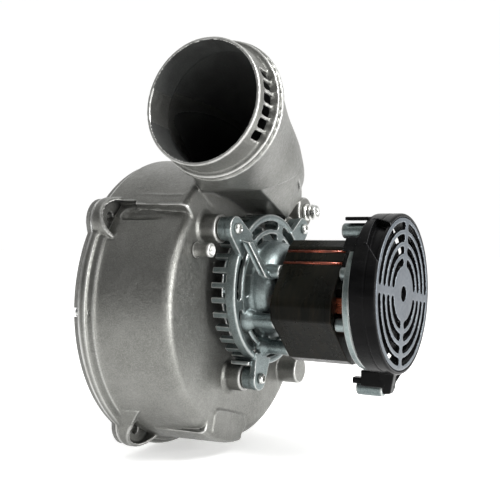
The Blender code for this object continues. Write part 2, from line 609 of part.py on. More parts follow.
def rear_shield(look):
    """Dished end shield with its bearing seat, bolt posts and the two cover ears."""
    profile = [(SHIELD_BACK, 6.0), (SHIELD_BACK, SHIELD_R), (SHIELD_FRONT + 1.5, SHIELD_R),
               (SHIELD_FRONT + 1.5, SHIELD_R - 2.4), (SHIELD_FRONT, SHIELD_R - 2.4), (SHIELD_FRONT, 6.0)]
    body = turned("rear_shield", profile, 40, (0.0, SHIELD_Z), look)
    seat = rod("seat", 13.5, 158.0, 168.2, 20)
    posts = [rod("post", 4.4, STACK_FRONT + GAP, SHIELD_FRONT - 0.5, 12, centre) for centre in BOLTS]
    upper = rod("upper", 5.0, 150.5, COVER_BACK - 0.7, 16, COVER_EARS[0])
    lower = rod("lower", 5.0, 150.0, COVER_BACK - 0.7, 16, COVER_EARS[1])
    arm = block("arm", (SHIELD_BACK + 0.2, SHIELD_FRONT - 0.2), (8.0, 16.0), (-62.0, -40.0))
    join(body, *posts, upper, lower, arm, seat)
    vents = [prism("vent", arc_slot(21.0, 27.0, middle - half, middle + half), 150.0, 168.0)
             for middle, half in SHIELD_VENTS]
    bearing = rod("bearing", BEARING_OUT + GAP, 150.0, 166.9 + GAP, 20)
    shaft = rod("shaft", 6.0, 150.0, 172.0, 14)
    holes = [rod("hole", BOLT_HOLE_R, 150.0, 170.0, 14, centre) for centre in BOLTS]
    return smooth(cut(body, *vents, bearing, shaft, *holes), 28.0)


def through_bolts(look):
    head = [(SHIELD_FRONT + GAP, 0.0), (SHIELD_FRONT + GAP, 4.0),
            (SHIELD_FRONT + 2.8, 4.0), (SHIELD_FRONT + 2.8, 0.0)]
    for k, centre in enumerate(BOLTS):
        body = turned(f"through_bolt_{k + 1}", head, 6, centre, look)
        smooth(join(body, rod("shank", BOLT_R, 96.0, SHIELD_FRONT + 1.0, 10, centre)))


def bearings(look):
    for name, x0, x1 in (("front_bearing", 93.5, 103.2), ("rear_bearing", 157.2, 166.9)):
        rim = 1.2
        profile = [(x0, BEARING_IN), (x0, BEARING_OUT - rim), (x0 + rim, BEARING_OUT),
                   (x1 - rim, BEARING_OUT), (x1, BEARING_OUT - rim), (x1, BEARING_IN)]
        smooth(turned(name, profile, 20, look=look))


# ---------------------------------------------------------------- fan cover
def fan_cover(look):
    """Moulded drum with a notch in its side, two hooks, a rim tab and a snap wedge."""
    inner = COVER_R - COVER_T
    profile = [(COVER_BACK, inner), (COVER_BACK, COVER_R), (COVER_RIM, COVER_R), (COVER_RIM, inner),
               (COVER_FRONT, inner), (COVER_FRONT, inner - 2.0), (COVER_FRONT - 2.0, inner - 2.0),
               (COVER_FRONT - 2.0, inner)]
    body = turned("fan_cover", profile, 48, look=look)
    liner = prism("liner", sector(NOTCH_FLOOR_R - 2.6, inner + 0.9, 106.3, 160.3), 171.0, COVER_FRONT - 0.2)
    top_hook = block("top_hook", (153.5, 170.0), (-20.0, -8.0), (46.9, 49.3))
    tab = prism("tab", sector(inner + 0.2, COVER_R - 0.2, 134.0, 146.0), 161.3, COVER_BACK + 2.0)
    prong = block("prong", (152.0, 159.5), (-3.4, 3.0), (-59.8, -55.8))
    low_hook = block("low_hook", (158.0, 173.5), (-4.0, 7.4), (-61.1, -50.6))
    wedge = hull("wedge", WEDGE)
    for piece in (top_hook, low_hook, wedge):
        cut(piece, rod("inside", inner + 0.9, COVER_BACK + 0.6, COVER_FRONT + 4.0, 46))
    notch = hull("notch", [(x, *polar(radius, angle)) for x, angle in NOTCH for radius in (42.0, 56.0)])
    cut(notch, rod("floor", NOTCH_FLOOR_R, 160.0, 190.0, 52))
    join(body, liner, top_hook, tab, low_hook, prong, wedge)
    return smooth(cut(body, notch), 28.0)


def fan_grille(look):
    """Flat guard with four rings of arc slots between a crossed pair of spokes."""
    rim = 1.0
    profile = [(GRILLE_BACK, GRILLE_HUB_HOLE), (GRILLE_BACK, GRILLE_R), (GRILLE_FRONT - rim, GRILLE_R),
               (GRILLE_FRONT, GRILLE_R - rim), (GRILLE_FRONT, GRILLE_HUB_HOLE)]
    body = turned("fan_grille", profile, 40, look=look)
    slots = []
    for inner, outer in GRILLE_SLOTS:
        reach = degrees(GRILLE_SPOKE / 2 / ((inner + outer) / 2)) + degrees((outer - inner) / 2 / inner)
        for k in range(4):
            start = GRILLE_TURN + 90.0 * k
            outline = arc_slot(inner, outer, start + reach, start + 90.0 - reach, 21.0)
            slots.append(prism("slot", outline, GRILLE_BACK - 2.0, GRILLE_FRONT + 2.0))
    return smooth(cut(body, *slots), 28.0)


# ---------------------------------------------------------------- rotating assembly
def rotor(steel, core, cast, plate, plastic, spin):
    shaft = smooth(turned("rotor_shaft", [(22.0, 0.0), (22.0, 3.4), (22.6, SHAFT_R), (178.4, SHAFT_R),
                                          (179.0, 3.4), (179.0, 0.0)], 20, look=steel))
    grip = SHAFT_R + GAP
    pieces = [shaft]
    pieces.append(smooth(tube("rotor_core", ROTOR_R, grip, 111.4, 152.6, 28, look=core)))
    pieces.append(smooth(tube("rotor_end_ring_front", 22.6, grip + 5.0, 107.6, 111.1, 24, look=cast)))
    pieces.append(smooth(tube("rotor_end_ring_rear", 22.6, grip + 5.0, 152.9, 156.4, 24, look=cast)))
    pieces.append(smooth(tube("thrust_washer_front", 8.0, grip, 103.6, 105.0, 14, look=plastic)))
    pieces.append(smooth(tube("thrust_washer_rear", 8.0, grip, 155.2, 156.6, 14, look=plastic)))
    pieces.append(heat_slinger(cast))
    pieces.append(impeller_wheel(plate))
    pieces.append(impeller_hub(cast))
    pieces.append(smooth(hub_set_screw(steel)))
    pieces.append(cooling_fan(plastic))
    pieces.append(smooth(tube("fan_retaining_ring", 6.2, grip, 176.4, 177.4, 16, look=steel)))
    for piece in pieces:
        piece.parent = spin


def heat_slinger(look):
    """Finned cooling disc between the housing and the bracket."""
    grip = SHAFT_R + GAP
    profile = [(73.0, grip), (73.0, 9.0), (75.4, 9.0), (75.4, 44.0), (76.8, 44.0), (76.8, 9.0), (85.0, 9.0),
               (85.0, grip)]
    body = turned("heat_slinger", profile, 32, look=look)
    blades = []
    for k in range(8):
        angle = 45.0 * k
        outline = [polar(16.0, angle), polar(42.0, angle + 1.0), polar(42.0, angle - 1.4),
                   polar(16.0, angle - 5.0)]
        blades.append(prism("blade", outline, 76.2, 83.4))
    return smooth(join(body, *blades))


def impeller_wheel(look):
    disc_back = WHEEL_FRONT - 1.2
    profile = [(disc_back, 6.0), (disc_back, WHEEL_R), (WHEEL_FRONT, WHEEL_R), (WHEEL_FRONT, 6.0)]
    body = turned("impeller_wheel", profile, 40, look=look)
    rim = tube("rim", WHEEL_R + 0.8, BLADE_IN + 2.0, WHEEL_BACK, WHEEL_BACK + 1.6, 40)
    blades = []
    for k in range(BLADE_COUNT):
        angle = 360.0 * k / BLADE_COUNT
        lead = (0.0, 3.2, 9.0)
        radii = (BLADE_IN, (BLADE_IN + WHEEL_R) / 2, WHEEL_R - 0.4)
        front = [polar(r, angle + a) for r, a in zip(radii, lead)]
        back = [polar(r, angle + a - degrees(BLADE_T / r)) for r, a in zip(radii, lead)]
        blades.append(prism("blade", front + back[::-1], WHEEL_BACK + 0.8, WHEEL_FRONT - 0.6))
    return smooth(join(body, rim, *blades), 28.0)


def impeller_hub(look):
    grip = SHAFT_R + GAP
    profile = [(38.0, grip), (38.0, 9.0), (54.4, 9.0), (54.4, 18.0), (WHEEL_FRONT - 1.2 - GAP, 18.0),
               (WHEEL_FRONT - 1.2 - GAP, grip)]
    body = turned("impeller_hub", profile, 24, look=look)
    return smooth(cut(body, upright_rod("set_hole", 2.2, 3.0, 12.0, 46.0)))


def upright_rod(name, radius, z0, z1, x, segments=12, look=None):
    bm = bmesh.new()
    turns = [2 * pi * k / segments for k in range(segments)]
    low = [bm.verts.new((x + radius * cos(t), radius * sin(t), z0)) for t in turns]
    high = [bm.verts.new((x + radius * cos(t), radius * sin(t), z1)) for t in turns]
    bm.faces.new(low)
    bm.faces.new(high)
    for k in range(segments):
        m = (k + 1) % segments
        bm.faces.new((low[k], low[m], high[m], high[k]))
    return to_object(name, bm, look)


def hub_set_screw(look):
    return upright_rod("hub_set_screw", 1.9, SHAFT_R + GAP, 9.6, 46.0, look=look)


def cooling_fan(look):
    """Five-bladed fan that blows through the cover."""
    grip = SHAFT_R + GAP
    profile = [(169.0, grip), (169.0, 43.0), (170.4, 43.0), (170.4, 10.0), (176.0, 10.0), (176.0, grip)]
    body = turned("cooling_fan", profile, 30, look=look)
    blades = []
    for k in range(5):
        angle = 72.0 * k
        root = [polar(8.0, angle - 16.0), polar(8.0, angle + 16.0)]
        tip = [polar(41.0, angle + 24.0), polar(42.5, angle + 4.0), polar(41.0, angle - 18.0)]
        low = [(170.2, *root[0]), (174.2, *root[1]), (176.6, *tip[0]), (173.6, *tip[1]), (169.8, *tip[2])]
        high = [(x + 1.4, y, z) for x, y, z in low]
        blades.append(hull("blade", low + high))
    return smooth(join(body, *blades), 28.0)


# ---------------------------------------------------------------- assembly
def build():
    clear_scene()
    cast = material("cast_aluminium", (0.52, 0.52, 0.50), 0.5, 0.6)
    zinc = material("zinc_die_casting", (0.66, 0.70, 0.72), 0.35, 0.8)
    steel = material("zinc_plated_steel", (0.62, 0.62, 0.60), 0.35, 0.9)
    sheet = material("aluminised_sheet", (0.58, 0.58, 0.57), 0.45, 0.8)
    foam = material("gasket_fibre", (0.10, 0.10, 0.10), 0.9, 0.0)
    varnish = material("varnished_laminations", (0.09, 0.07, 0.05), 0.25, 0.4)
    copper = material("enamelled_copper", (0.45, 0.16, 0.08), 0.3, 0.7)
    bronze = material("sintered_bronze", (0.45, 0.30, 0.16), 0.5, 0.8)
    black = material("black_plastic", (0.02, 0.02, 0.02), 0.25, 0.0)
    grey = material("grille_grey", (0.50, 0.54, 0.58), 0.4, 0.1)

    blower_housing(cast)
    inlet_gasket(foam)
    inlet_plate(sheet)
    plate_screws(steel)
    pressure_tap(cast)
    boss_port(steel)
    shaft_seal(foam)
    motor_bracket(zinc)
    bracket_screws(steel)
    stator_stack(varnish)
    stator_coil(copper)
    shading_bars(copper)
    rear_shield(zinc)
    through_bolts(steel)
    bearings(bronze)
    fan_cover(black)
    fan_grille(grey)

    spin = bpy.data.objects.new("rotor_axis", None)
    bpy.context.scene.collection.objects.link(spin)
    rotor(steel, varnish, zinc, sheet, black, spin)

    for item in bpy.data.objects:
        if item.type == "MESH":
            item.data.transform(Matrix.Scale(MM, 4))


build()
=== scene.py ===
"""Looks of the combustion fan: detailed castings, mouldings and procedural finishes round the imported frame.

World frame, +Z up, motor shaft on the X axis, x = 0 at the mounting plane. Shapes are made in
millimetres and scaled to metres when a piece is finished.
"""
from math import atan2, cos, degrees, hypot, pi, radians, sin, sqrt

import bmesh
import bpy
from mathutils import Matrix, Vector


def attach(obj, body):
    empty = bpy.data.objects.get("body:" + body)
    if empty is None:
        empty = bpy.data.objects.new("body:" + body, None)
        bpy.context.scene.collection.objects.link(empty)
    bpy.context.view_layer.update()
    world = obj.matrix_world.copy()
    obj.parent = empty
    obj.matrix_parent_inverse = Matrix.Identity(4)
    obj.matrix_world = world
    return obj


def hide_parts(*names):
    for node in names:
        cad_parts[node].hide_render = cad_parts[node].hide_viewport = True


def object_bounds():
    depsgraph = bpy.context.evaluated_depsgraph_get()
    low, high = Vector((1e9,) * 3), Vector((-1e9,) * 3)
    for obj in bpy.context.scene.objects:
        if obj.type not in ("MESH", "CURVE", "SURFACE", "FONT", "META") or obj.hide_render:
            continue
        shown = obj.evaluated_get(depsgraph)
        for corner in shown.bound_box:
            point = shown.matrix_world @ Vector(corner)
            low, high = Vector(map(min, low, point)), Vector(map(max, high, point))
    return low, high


MM = 0.001
GAP = 0.3

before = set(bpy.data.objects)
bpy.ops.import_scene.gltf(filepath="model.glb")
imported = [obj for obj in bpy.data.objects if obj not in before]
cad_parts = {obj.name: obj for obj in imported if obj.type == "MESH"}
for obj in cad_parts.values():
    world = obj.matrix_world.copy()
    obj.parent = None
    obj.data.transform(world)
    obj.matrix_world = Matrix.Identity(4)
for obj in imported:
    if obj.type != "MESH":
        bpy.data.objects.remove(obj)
cad_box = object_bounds()

# ---------------------------------------------------------------- driving dimensions, as in the part
DRUM_Z = -12.0
AXIS = (0.0, DRUM_Z)
FLANGE_BACK, FLANGE_FRONT, STEP_FRONT = 5.2, 10.0, 15.0
FLANGE_R, STEP_R = 103.5, 100.5
WALL_R_BACK, WALL_R_FRONT = 98.0, 93.5
FACE_X, FACE_R, FACE_FILLET = 67.5, 87.0, 6.5
WALL_T = 3.4
CAVITY_R_BACK, CAVITY_R_FRONT = 93.5, 89.0
CROWN_R, CROWN_FROM, CROWN_TO, CROWN_TAPER_TO = 101.0, 32.0, 136.5, 44.0
EAR_ANGLES = (141.7, 238.8, 301.2, 38.3)
EAR_RADIUS_FROM_AXIS, EAR_R = 94.8, 16.0
EAR_POCKET_R, EAR_POCKET_FLOOR, EAR_HOLE_R, EAR_HOLE_AT = 13.6, 10.5, 3.2, 99.0
PAD_BACK, PAD_PROUD = 58.0, 1.2
PAD_LEFT = ((-43.0, -94.0), (-39.4, -83.5), (-37.0, -80.6), (-33.0, -80.6))
PAD_RIGHT = ((0.0, -90.4), (3.0, -98.0), (-3.0, -104.0), (-20.0, -103.0))
LEDGE_FROM, LEDGE_TO, LEDGE_R, LEDGE_BACK = 237.0, 268.0, 96.5, 28.0
TAP, PORT, SPARE_BOSS = (-61.7, 28.0), (74.0, 54.5), (60.0, -66.0)
EAR_WEB = ((6.0, -61.5, -96.0), (6.0, -74.5, -79.5), (12.5, -61.5, -96.0), (29.0, -71.0, -78.8),
           (6.0, -59.0, -94.0), (6.0, -72.0, -77.5), (12.5, -59.0, -94.0), (29.0, -68.5, -76.8))
PLATE_SCREW_RADIUS, PLATE_SCREW_ANGLES = 98.4, (0.0, 95.0, 180.0, 270.0)
INLET_R = 46.0
OUTLET = Vector((103.5, -111.3, 114.8))
OUTLET_TILT = 9.0
COLLAR_R, COLLAR_T, COLLAR_LENGTH = 38.1, 2.3, 20.3
BEAD_ROWS = ((-4.6, 37.0), (-4.4, 41.2), (-4.0, 41.7), (-2.5, 41.7), (-2.1, 41.2), (-1.9, 39.0),
             (-0.9, 39.0), (-0.7, 42.0), (-0.2, 42.6), (1.2, 42.6), (1.9, 41.8), (2.4, 38.1))
SEAM_ANGLE = 131.6
SLOT_COUNT, SLOT_FIRST, SLOT_PITCH = 6, 25.0, -11.3
SLOT_LONG, SLOT_WIDE, SLOT_SETBACK = 10.4, 5.4, 11.2
OUT_DIR = Vector((0.0, -cos(radians(OUTLET_TILT)), sin(radians(OUTLET_TILT))))
OUT_UP = Vector((0.0, sin(radians(OUTLET_TILT)), cos(radians(OUTLET_TILT))))
DUCT = (((103.5, -91.2, 111.6), 9.0, 40.4, 40.4),
        ((97.0, -66.0, 105.0), 21.0, 36.5, 40.5),
        ((88.0, -38.0, 95.0), 38.0, 33.5, 41.5),
        ((78.0, -8.0, 81.5), 56.0, 34.5, 44.0),
        ((62.0, 22.0, 66.0), 71.0, 35.0, 46.0),
        ((44.0, 34.0, 44.0), 80.0, 22.0, 50.0),
        ((36.0, 36.0, 24.0), 88.0, 22.0, 48.0))
CLEAR_R = 53.2
# front corners of the faceted web that ties the elbow to the face and the port boss
GUSSET_FACE = ((106.0, -45.2, 66.8), (109.5, 1.0, 78.6), (82.0, 58.0, 65.0), (84.0, 36.0, 49.6))
GUSSET = (*GUSSET_FACE, (66.0, 60.0, 50.0), (66.0, 10.0, 56.0), (66.0, -20.0, 66.0), (66.0, 64.0, 84.0),
          (62.0, 78.0, 62.0), (62.0, 78.0, 76.0), (100.0, 26.5, 83.9), (80.0, 68.6, 66.1),
          (96.0, -20.0, 90.0))
# space kept free under the elbow beside the motor bracket, seen along the shaft
UNDER_DUCT = ((-130.0, 0.0), (-130.0, 66.4), (-40.0, 66.4), (-20.0, 62.0), (5.0, 52.5), (5.0, 0.0))
LUGS = ((-49.6, 41.8), (47.6, 41.4), (-18.6, -59.7))
LUG_R, LUG_HOLE_R, BOSS_R, BOSS_TOP = 8.2, 2.4, 9.6, 80.0
PLATE_BACK, PLATE_FRONT = 87.0, 90.5
RING_OUT, RING_IN = 51.8, 47.3
FIN_COUNT, FIN_BACK, FIN_WIDE = 32, 72.5, 4.0
DOME_R, DOME_FRONT, DOME_WALL, STAND_OFF_R = 33.0, 105.5, 2.6, 7.8
OUTER_SLOT, INNER_SLOT = (41.3, 47.2), (33.6, 38.2)
SLOT_GROUPS, SLOT_GROUP_SPAN, SLOT_GROUP_CENTRE = 6, 52.0, 101.0
STACK_BACK, STACK_FRONT = 111.0, 153.0
STACK_HALF = ((0.0, 34.0), (8.0, 34.0), (15.0, 30.0), (26.0, 15.8), (36.6, 2.4), (38.4, -0.2), (39.8, -2.6),
              (40.7, -5.1), (41.2, -7.4), (41.5, -16.8), (14.0, -44.0), (5.0, -47.5), (0.0, -47.5))
BOLTS = ((-32.0, -18.5), (-24.6, 13.0), (24.6, 13.0), (32.0, -18.5))
BOLT_R, BOLT_HOLE_R, POST_R, SPARE_POST = 2.0, 2.4, 4.9, (-11.5, -38.6)
BAR_TOP, BAR_BOTTOM, BAR_HALF_X, BAR_HALF_Y = (94.8, -43.0, 33.8), (101.6, -31.5, 10.4), 3.1, 3.0
BAR_FRAME, BAR_RECESS = 1.4, 0.8
WINDOW = (-12.5, 3.5)
BORE_R, SHAFT_R, BEARING_OUT = 24.3, 4.0, 10.0
SHIELD_Z, SHIELD_R, SHIELD_BACK, SHIELD_FRONT = -4.0, 46.0, 162.2, 165.4
SHIELD_VENTS = ((0.0, 9.0), (90.0, 20.0), (180.0, 9.0), (270.0, 24.0))
COVER_EARS = ((-14.0, 40.4), (12.0, -65.0))
COVER_R, COVER_T, COVER_BACK, COVER_FRONT, COVER_RIM = 51.6, 2.3, 169.0, 183.0, 185.7
NOTCH, NOTCH_FLOOR_R = ((174.0, 111.0), (176.7, 141.0), (188.0, 156.0), (188.0, 120.0)), 46.6
WEDGE = ((170.0, -6.0, -46.0), (183.2, -8.0, -46.0), (170.0, 14.0, -46.0), (183.2, 14.0, -46.0),
         (172.5, -2.0, -65.5), (172.5, 8.0, -65.5), (177.5, -2.0, -65.0), (177.5, 4.0, -65.0))
GRILLE_R, GRILLE_BACK, GRILLE_FRONT = 49.0, 183.3, 186.0
GRILLE_SLOTS = ((41.0, 46.0), (33.3, 38.3), (25.6, 30.6), (17.9, 22.9))
GRILLE_SPOKE, GRILLE_TURN, GRILLE_HUB_HOLE = 4.4, -8.0, 5.0
WHEEL_R, BLADE_IN, WHEEL_BACK, WHEEL_FRONT = 68.0, 54.0, 18.0, 59.0
BLADE_COUNT, BLADE_T = 20, 1.4
ROOM_BASE, FLOOR_GLOW = 0.13, 0.46
# glowing sides of the room: direction, where the glow starts and is full, and its strength
ROOM_WALLS = (((-0.49, 0.87, 0.0), 0.2, 0.85, 0.88), ((0.0, 0.0, 1.0), 0.3, 0.95, 0.70),
              ((0.95, 0.3, 0.0), 0.3, 0.95, 0.22))
CAMERA_AT, CAMERA_FORWARD, LENS = (0.3672, -0.5212, 0.0417), (-0.4917, 0.8705, -0.0250), 61.2


# ---------------------------------------------------------------- shape helpers, all in millimetres
def to_object(name, bm):
    bmesh.ops.recalc_face_normals(bm, faces=bm.faces)
    mesh = bpy.data.meshes.new(name)
    bm.to_mesh(mesh)
    bm.free()
    made = bpy.data.objects.new(name, mesh)
    bpy.context.scene.collection.objects.link(made)
    return made


def polar(radius, angle, centre=(0.0, 0.0)):
    return centre[0] + radius * cos(radians(angle)), centre[1] + radius * sin(radians(angle))


def turned(profile, segments=96, centre=(0.0, 0.0), start=1.7, end=None):
    """Closed outline of (x, radius) points turned about a line parallel to X, wholly or in part."""
    bm = bmesh.new()
    whole = end is None
    sweep = 360.0 if whole else end - start
    count = segments if whole else segments + 1
    rings = []
    for x, radius in profile:
        if radius < 1e-6:
            rings.append([bm.verts.new((x, *centre))] * count)
        else:
            points = (polar(radius, start + sweep * k / segments, centre) for k in range(count))
            rings.append([bm.verts.new((x, y, z)) for y, z in points])
    for first, second in zip(rings, rings[1:] + rings[:1]):
        for k in range(segments):
            m = (k + 1) % count
            corners = []
            for vert in (first[k], first[m], second[m], second[k]):
                if vert not in corners:
                    corners.append(vert)
            if len(corners) > 2:
                bm.faces.new(corners)
    if not whole:
        for k in (0, segments):
            bm.faces.new([ring[k] for ring in rings])
    return to_object("turned", bm)


def rod(radius, x0, x1, centre=(0.0, 0.0), segments=40, edge=0.0):
    """Cylinder along X, with its end edges rounded by the given radius."""
    if edge <= 0.0:
        return turned([(x0, 0.0), (x0, radius), (x1, radius), (x1, 0.0)], segments, centre)
    profile = [(x0, 0.0)]
    profile += [(x0 + edge * (1 - cos(t)), radius - edge * (1 - sin(t))) for t in quarter()]
    profile += [(x1 - edge * (1 - sin(t)), radius - edge * (1 - cos(t))) for t in quarter()]
    return turned(profile + [(x1, 0.0)], segments, centre)


def quarter(steps=4):
    return [pi / 2 * k / steps for k in range(steps + 1)]


def tube(outer, inner, x0, x1, segments=96, centre=(0.0, 0.0)):
    return turned([(x0, inner), (x0, outer), (x1, outer), (x1, inner)], segments, centre)


def prism(outline, x0, x1):
    bm = bmesh.new()
    back = [bm.verts.new((x0, y, z)) for y, z in outline]
    front = [bm.verts.new((x1, y, z)) for y, z in outline]
    bm.faces.new(back)
    bm.faces.new(front)
    for k in range(len(outline)):
        m = (k + 1) % len(outline)
        bm.faces.new((back[k], back[m], front[m], front[k]))
    return to_object("prism", bm)


def block(x, y, z):
    return prism([(y[0], z[0]), (y[1], z[0]), (y[1], z[1]), (y[0], z[1])], x[0], x[1])


def hull(points):
    bm = bmesh.new()
    for point in points:
        bm.verts.new(point)
    result = bmesh.ops.convex_hull(bm, input=bm.verts)
    bmesh.ops.delete(bm, geom=result["geom_interior"], context="VERTS")
    return to_object("hull", bm)


def sector(inner, outer, start, end, step=3.0, centre=(0.0, 0.0)):
    count = max(2, int(abs(end - start) / step))
    angles = [start + (end - start) * k / count for k in range(count + 1)]
    return [polar(outer, a, centre) for a in angles] + [polar(inner, a, centre) for a in reversed(angles)]


def arc_slot(inner, outer, start, end, step=3.0, end_steps=8):
    """Outline of a ring slot with round ends."""
    middle, half = (inner + outer) / 2, (outer - inner) / 2
    count = max(2, int((end - start) / step))
    angles = [start + (end - start) * k / count for k in range(count + 1)]
    points = [polar(outer, a) for a in angles]
    for k in range(1, end_steps):
        turn = pi * k / end_steps
        y, z = polar(middle + half * cos(turn), end)
        away = half * sin(turn)
        points.append((y - away * sin(radians(end)), z + away * cos(radians(end))))
    points += [polar(inner, a) for a in reversed(angles)]
    for k in range(1, end_steps):
        turn = pi * k / end_steps
        y, z = polar(middle - half * cos(turn), start)
        away = half * sin(turn)
        points.append((y + away * sin(radians(start)), z - away * cos(radians(start))))
    return points


def loft(rings):
    bm = bmesh.new()
    verts = [[bm.verts.new(point) for point in ring] for ring in rings]
    for first, second in zip(verts, verts[1:]):
        for k in range(len(first)):
            m = (k + 1) % len(first)
            bm.faces.new((first[k], first[m], second[m], second[k]))
    bm.faces.new(verts[0])
    bm.faces.new(list(reversed(verts[-1])))
    return to_object("loft", bm)


def combine(base, tools, operation):
    for tool in tools:
        step = base.modifiers.new(operation, "BOOLEAN")
        step.operation = operation
        step.solver = "MANIFOLD"
        step.object = tool
    bake(base)
    for tool in tools:
        bpy.data.objects.remove(tool, do_unlink=True)
    return base


def join(base, *tools):
    return combine(base, tools, "UNION")


def cut(base, *tools):
    return combine(base, tools, "DIFFERENCE")


def bake(made):
    graph = bpy.context.evaluated_depsgraph_get()
    baked = bpy.data.meshes.new_from_object(made.evaluated_get(graph))
    made.modifiers.clear()
    made.data = baked


def soften(made, voxel, relax=5, keep=1.0):
    """Even skin over a Boolean solid, its edges and corners rounded as in a casting."""
    skin = made.modifiers.new("skin", "REMESH")
    skin.mode = "VOXEL"
    skin.voxel_size = voxel
    ease = made.modifiers.new("ease", "SMOOTH")
    ease.factor = 0.5
    ease.iterations = relax
    if keep < 1.0:
        thin = made.modifiers.new("thin", "DECIMATE")
        thin.ratio = keep
    bake(made)
    return made


def piece(made, node, look, body="fan_body"):
    """Finish a piece: metres, smooth shading, its finish, and the CAD node it stands for."""
    made.name = f"{node}_detail"
    made.data.name = made.name
    made.data.transform(Matrix.Scale(MM, 4))
    made.data.materials.clear()
    for one in look if isinstance(look, (list, tuple)) else (look,):
        made.data.materials.append(one)
    made.data.shade_smooth()
    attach(made, body)
    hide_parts(node)
    return made


def two_tone(made, node, looks, second):
    """Finish a piece whose faces take the second finish where the test holds."""
    kept = [int(second(face)) for face in made.data.polygons]
    piece(made, node, looks)
    made.data.polygons.foreach_set("material_index", kept)
    return made


def crisp(made, angle=35.0, bevel=0.25, segments=2):
    """Small machined chamfers along the sharp edges of a turned or cut piece."""
    edge = made.modifiers.new("edge", "BEVEL")
    edge.width = bevel
    edge.segments = segments
    edge.limit_method = "ANGLE"
    edge.angle_limit = radians(angle)
    edge.use_clamp_overlap = True
    bake(made)
    return made


# ---------------------------------------------------------------- finishes
class Finish:
    """Node tree builder for one procedural finish, in the object's own metres."""

    def __init__(self, name):
        self.material = bpy.data.materials.new(name)
        self.material.use_nodes = True
        self.tree = self.material.node_tree
        self.shader = self.tree.nodes["Principled BSDF"]
        self.coords = self.add("ShaderNodeTexCoord").outputs["Object"]

    def add(self, kind, **settings):
        node = self.tree.nodes.new(kind)
        for key, value in settings.items():
            setattr(node, key, value)
        return node

    def wire(self, source, target):
        if isinstance(source, (int, float)):
            target.default_value = source
        elif isinstance(source, tuple):
            target.default_value = (*source, 1.0) if len(source) == 3 else source
        else:
            self.tree.links.new(source, target)

    def stretched(self, scale):
        node = self.add("ShaderNodeMapping")
        self.wire(self.coords, node.inputs["Vector"])
        node.inputs["Scale"].default_value = scale
        return node.outputs["Vector"]

    def noise(self, per_metre, detail=3.0, roughness=0.55, vector=None, distortion=0.0):
        node = self.add("ShaderNodeTexNoise")
        self.wire(vector or self.coords, node.inputs["Vector"])
        node.inputs["Scale"].default_value = per_metre
        node.inputs["Detail"].default_value = detail
        node.inputs["Roughness"].default_value = roughness
        node.inputs["Distortion"].default_value = distortion
        return node.outputs["Fac"]

    def cells(self, per_metre):
        node = self.add("ShaderNodeTexVoronoi")
        self.wire(self.coords, node.inputs["Vector"])
        node.inputs["Scale"].default_value = per_metre
        return node.outputs["Distance"]

    def spread(self, value, low, high, to_low=0.0, to_high=1.0):
        node = self.add("ShaderNodeMapRange")
        self.wire(value, node.inputs["Value"])
        node.inputs["From Min"].default_value = low
        node.inputs["From Max"].default_value = high
        node.inputs["To Min"].default_value = to_low
        node.inputs["To Max"].default_value = to_high
        return node.outputs["Result"]

    def math(self, operation, first, second=0.0):
        node = self.add("ShaderNodeMath", operation=operation)
        self.wire(first, node.inputs[0])
        self.wire(second, node.inputs[1])
        return node.outputs["Value"]

    def mix(self, factor, first, second):
        node = self.add("ShaderNodeMix", data_type="RGBA")
        self.wire(factor, node.inputs["Factor"])
        self.wire(first, node.inputs["A"])
        self.wire(second, node.inputs["B"])
        return node.outputs["Result"]

    def edges(self, low=0.51, high=0.56):
        """Rises along convex edges; drives polish from handling on castings and a painted highlight where
        light catches an edge.
        """
        return self.spread(self.add("ShaderNodeNewGeometry").outputs["Pointiness"], low, high)

    def painted_hollow_shade(self, low=0.49, high=0.45):
        """Rises in concave corners, for painted shade where light reaches less."""
        return self.spread(self.add("ShaderNodeNewGeometry").outputs["Pointiness"], low, high)

    def place(self):
        node = self.add("ShaderNodeSeparateXYZ")
        self.wire(self.coords, node.inputs[0])
        return node.outputs

    def bump(self, height, strength, distance, under=None):
        node = self.add("ShaderNodeBump")
        node.inputs["Strength"].default_value = strength
        node.inputs["Distance"].default_value = distance
        self.wire(height, node.inputs["Height"])
        if under is not None:
            self.wire(under, node.inputs["Normal"])
        return node.outputs["Normal"]

    def finish(self, colour, roughness, normal=None, metallic=0.0, coat=0.0, specular=0.5):
        pins = self.shader.inputs
        self.wire(colour, pins["Base Color"])
        self.wire(roughness, pins["Roughness"])
        self.wire(metallic, pins["Metallic"])
        pins["Coat Weight"].default_value = coat
        pins["Coat Roughness"].default_value = 0.1
        pins["Specular IOR Level"].default_value = specular
        if normal is not None:
            self.wire(normal, pins["Normal"])
        return self.material


def cast_finish(name, dark, light, metallic, roughness, grain):
    """As-cast skin: sandy grain, cloudy tone, polished edges that also carry a painted highlight, and painted
    shade in concave corners.
    """
    make = Finish(name)
    cloud = make.noise(28.0, 4.0, 0.6)
    stain = make.noise(95.0, 5.0, 0.65, distortion=0.6)
    sand = make.noise(1150.0, 2.0, 0.6)
    pits = make.cells(620.0)
    tone = make.mix(make.spread(cloud, 0.3, 0.7), dark, light)
    tone = make.mix(make.spread(stain, 0.35, 0.75, 0.0, 0.35), tone, tuple(c * 0.72 for c in dark))
    bright = tuple(min(1.0, c * 1.45) for c in light)
    tone = make.mix(make.spread(sand, 0.38, 0.70, 0.0, 0.42), tone, bright)
    tone = make.mix(make.spread(pits, 0.16, 0.04, 0.0, 0.35), tone, tuple(c * 0.45 for c in dark))
    # brighter convex edges: polish from handling, with a painted highlight on top
    tone = make.mix(make.math("MULTIPLY", make.edges(), 0.8), tone, (0.66, 0.66, 0.64))
    # painted shade: concave corners darkened where light reaches less
    tone = make.mix(make.math("MULTIPLY", make.painted_hollow_shade(), 0.55), tone, tuple(c * 0.38 for c in dark))
    rough = make.spread(make.noise(420.0, 3.0), 0.3, 0.7, *roughness)
    skin = make.bump(sand, grain, 0.00022)
    skin = make.bump(make.noise(240.0, 3.0), 0.30, 0.0006, skin)
    skin = make.bump(pits, 0.15, 0.0002, skin)
    return make.finish(tone, rough, skin, metallic)


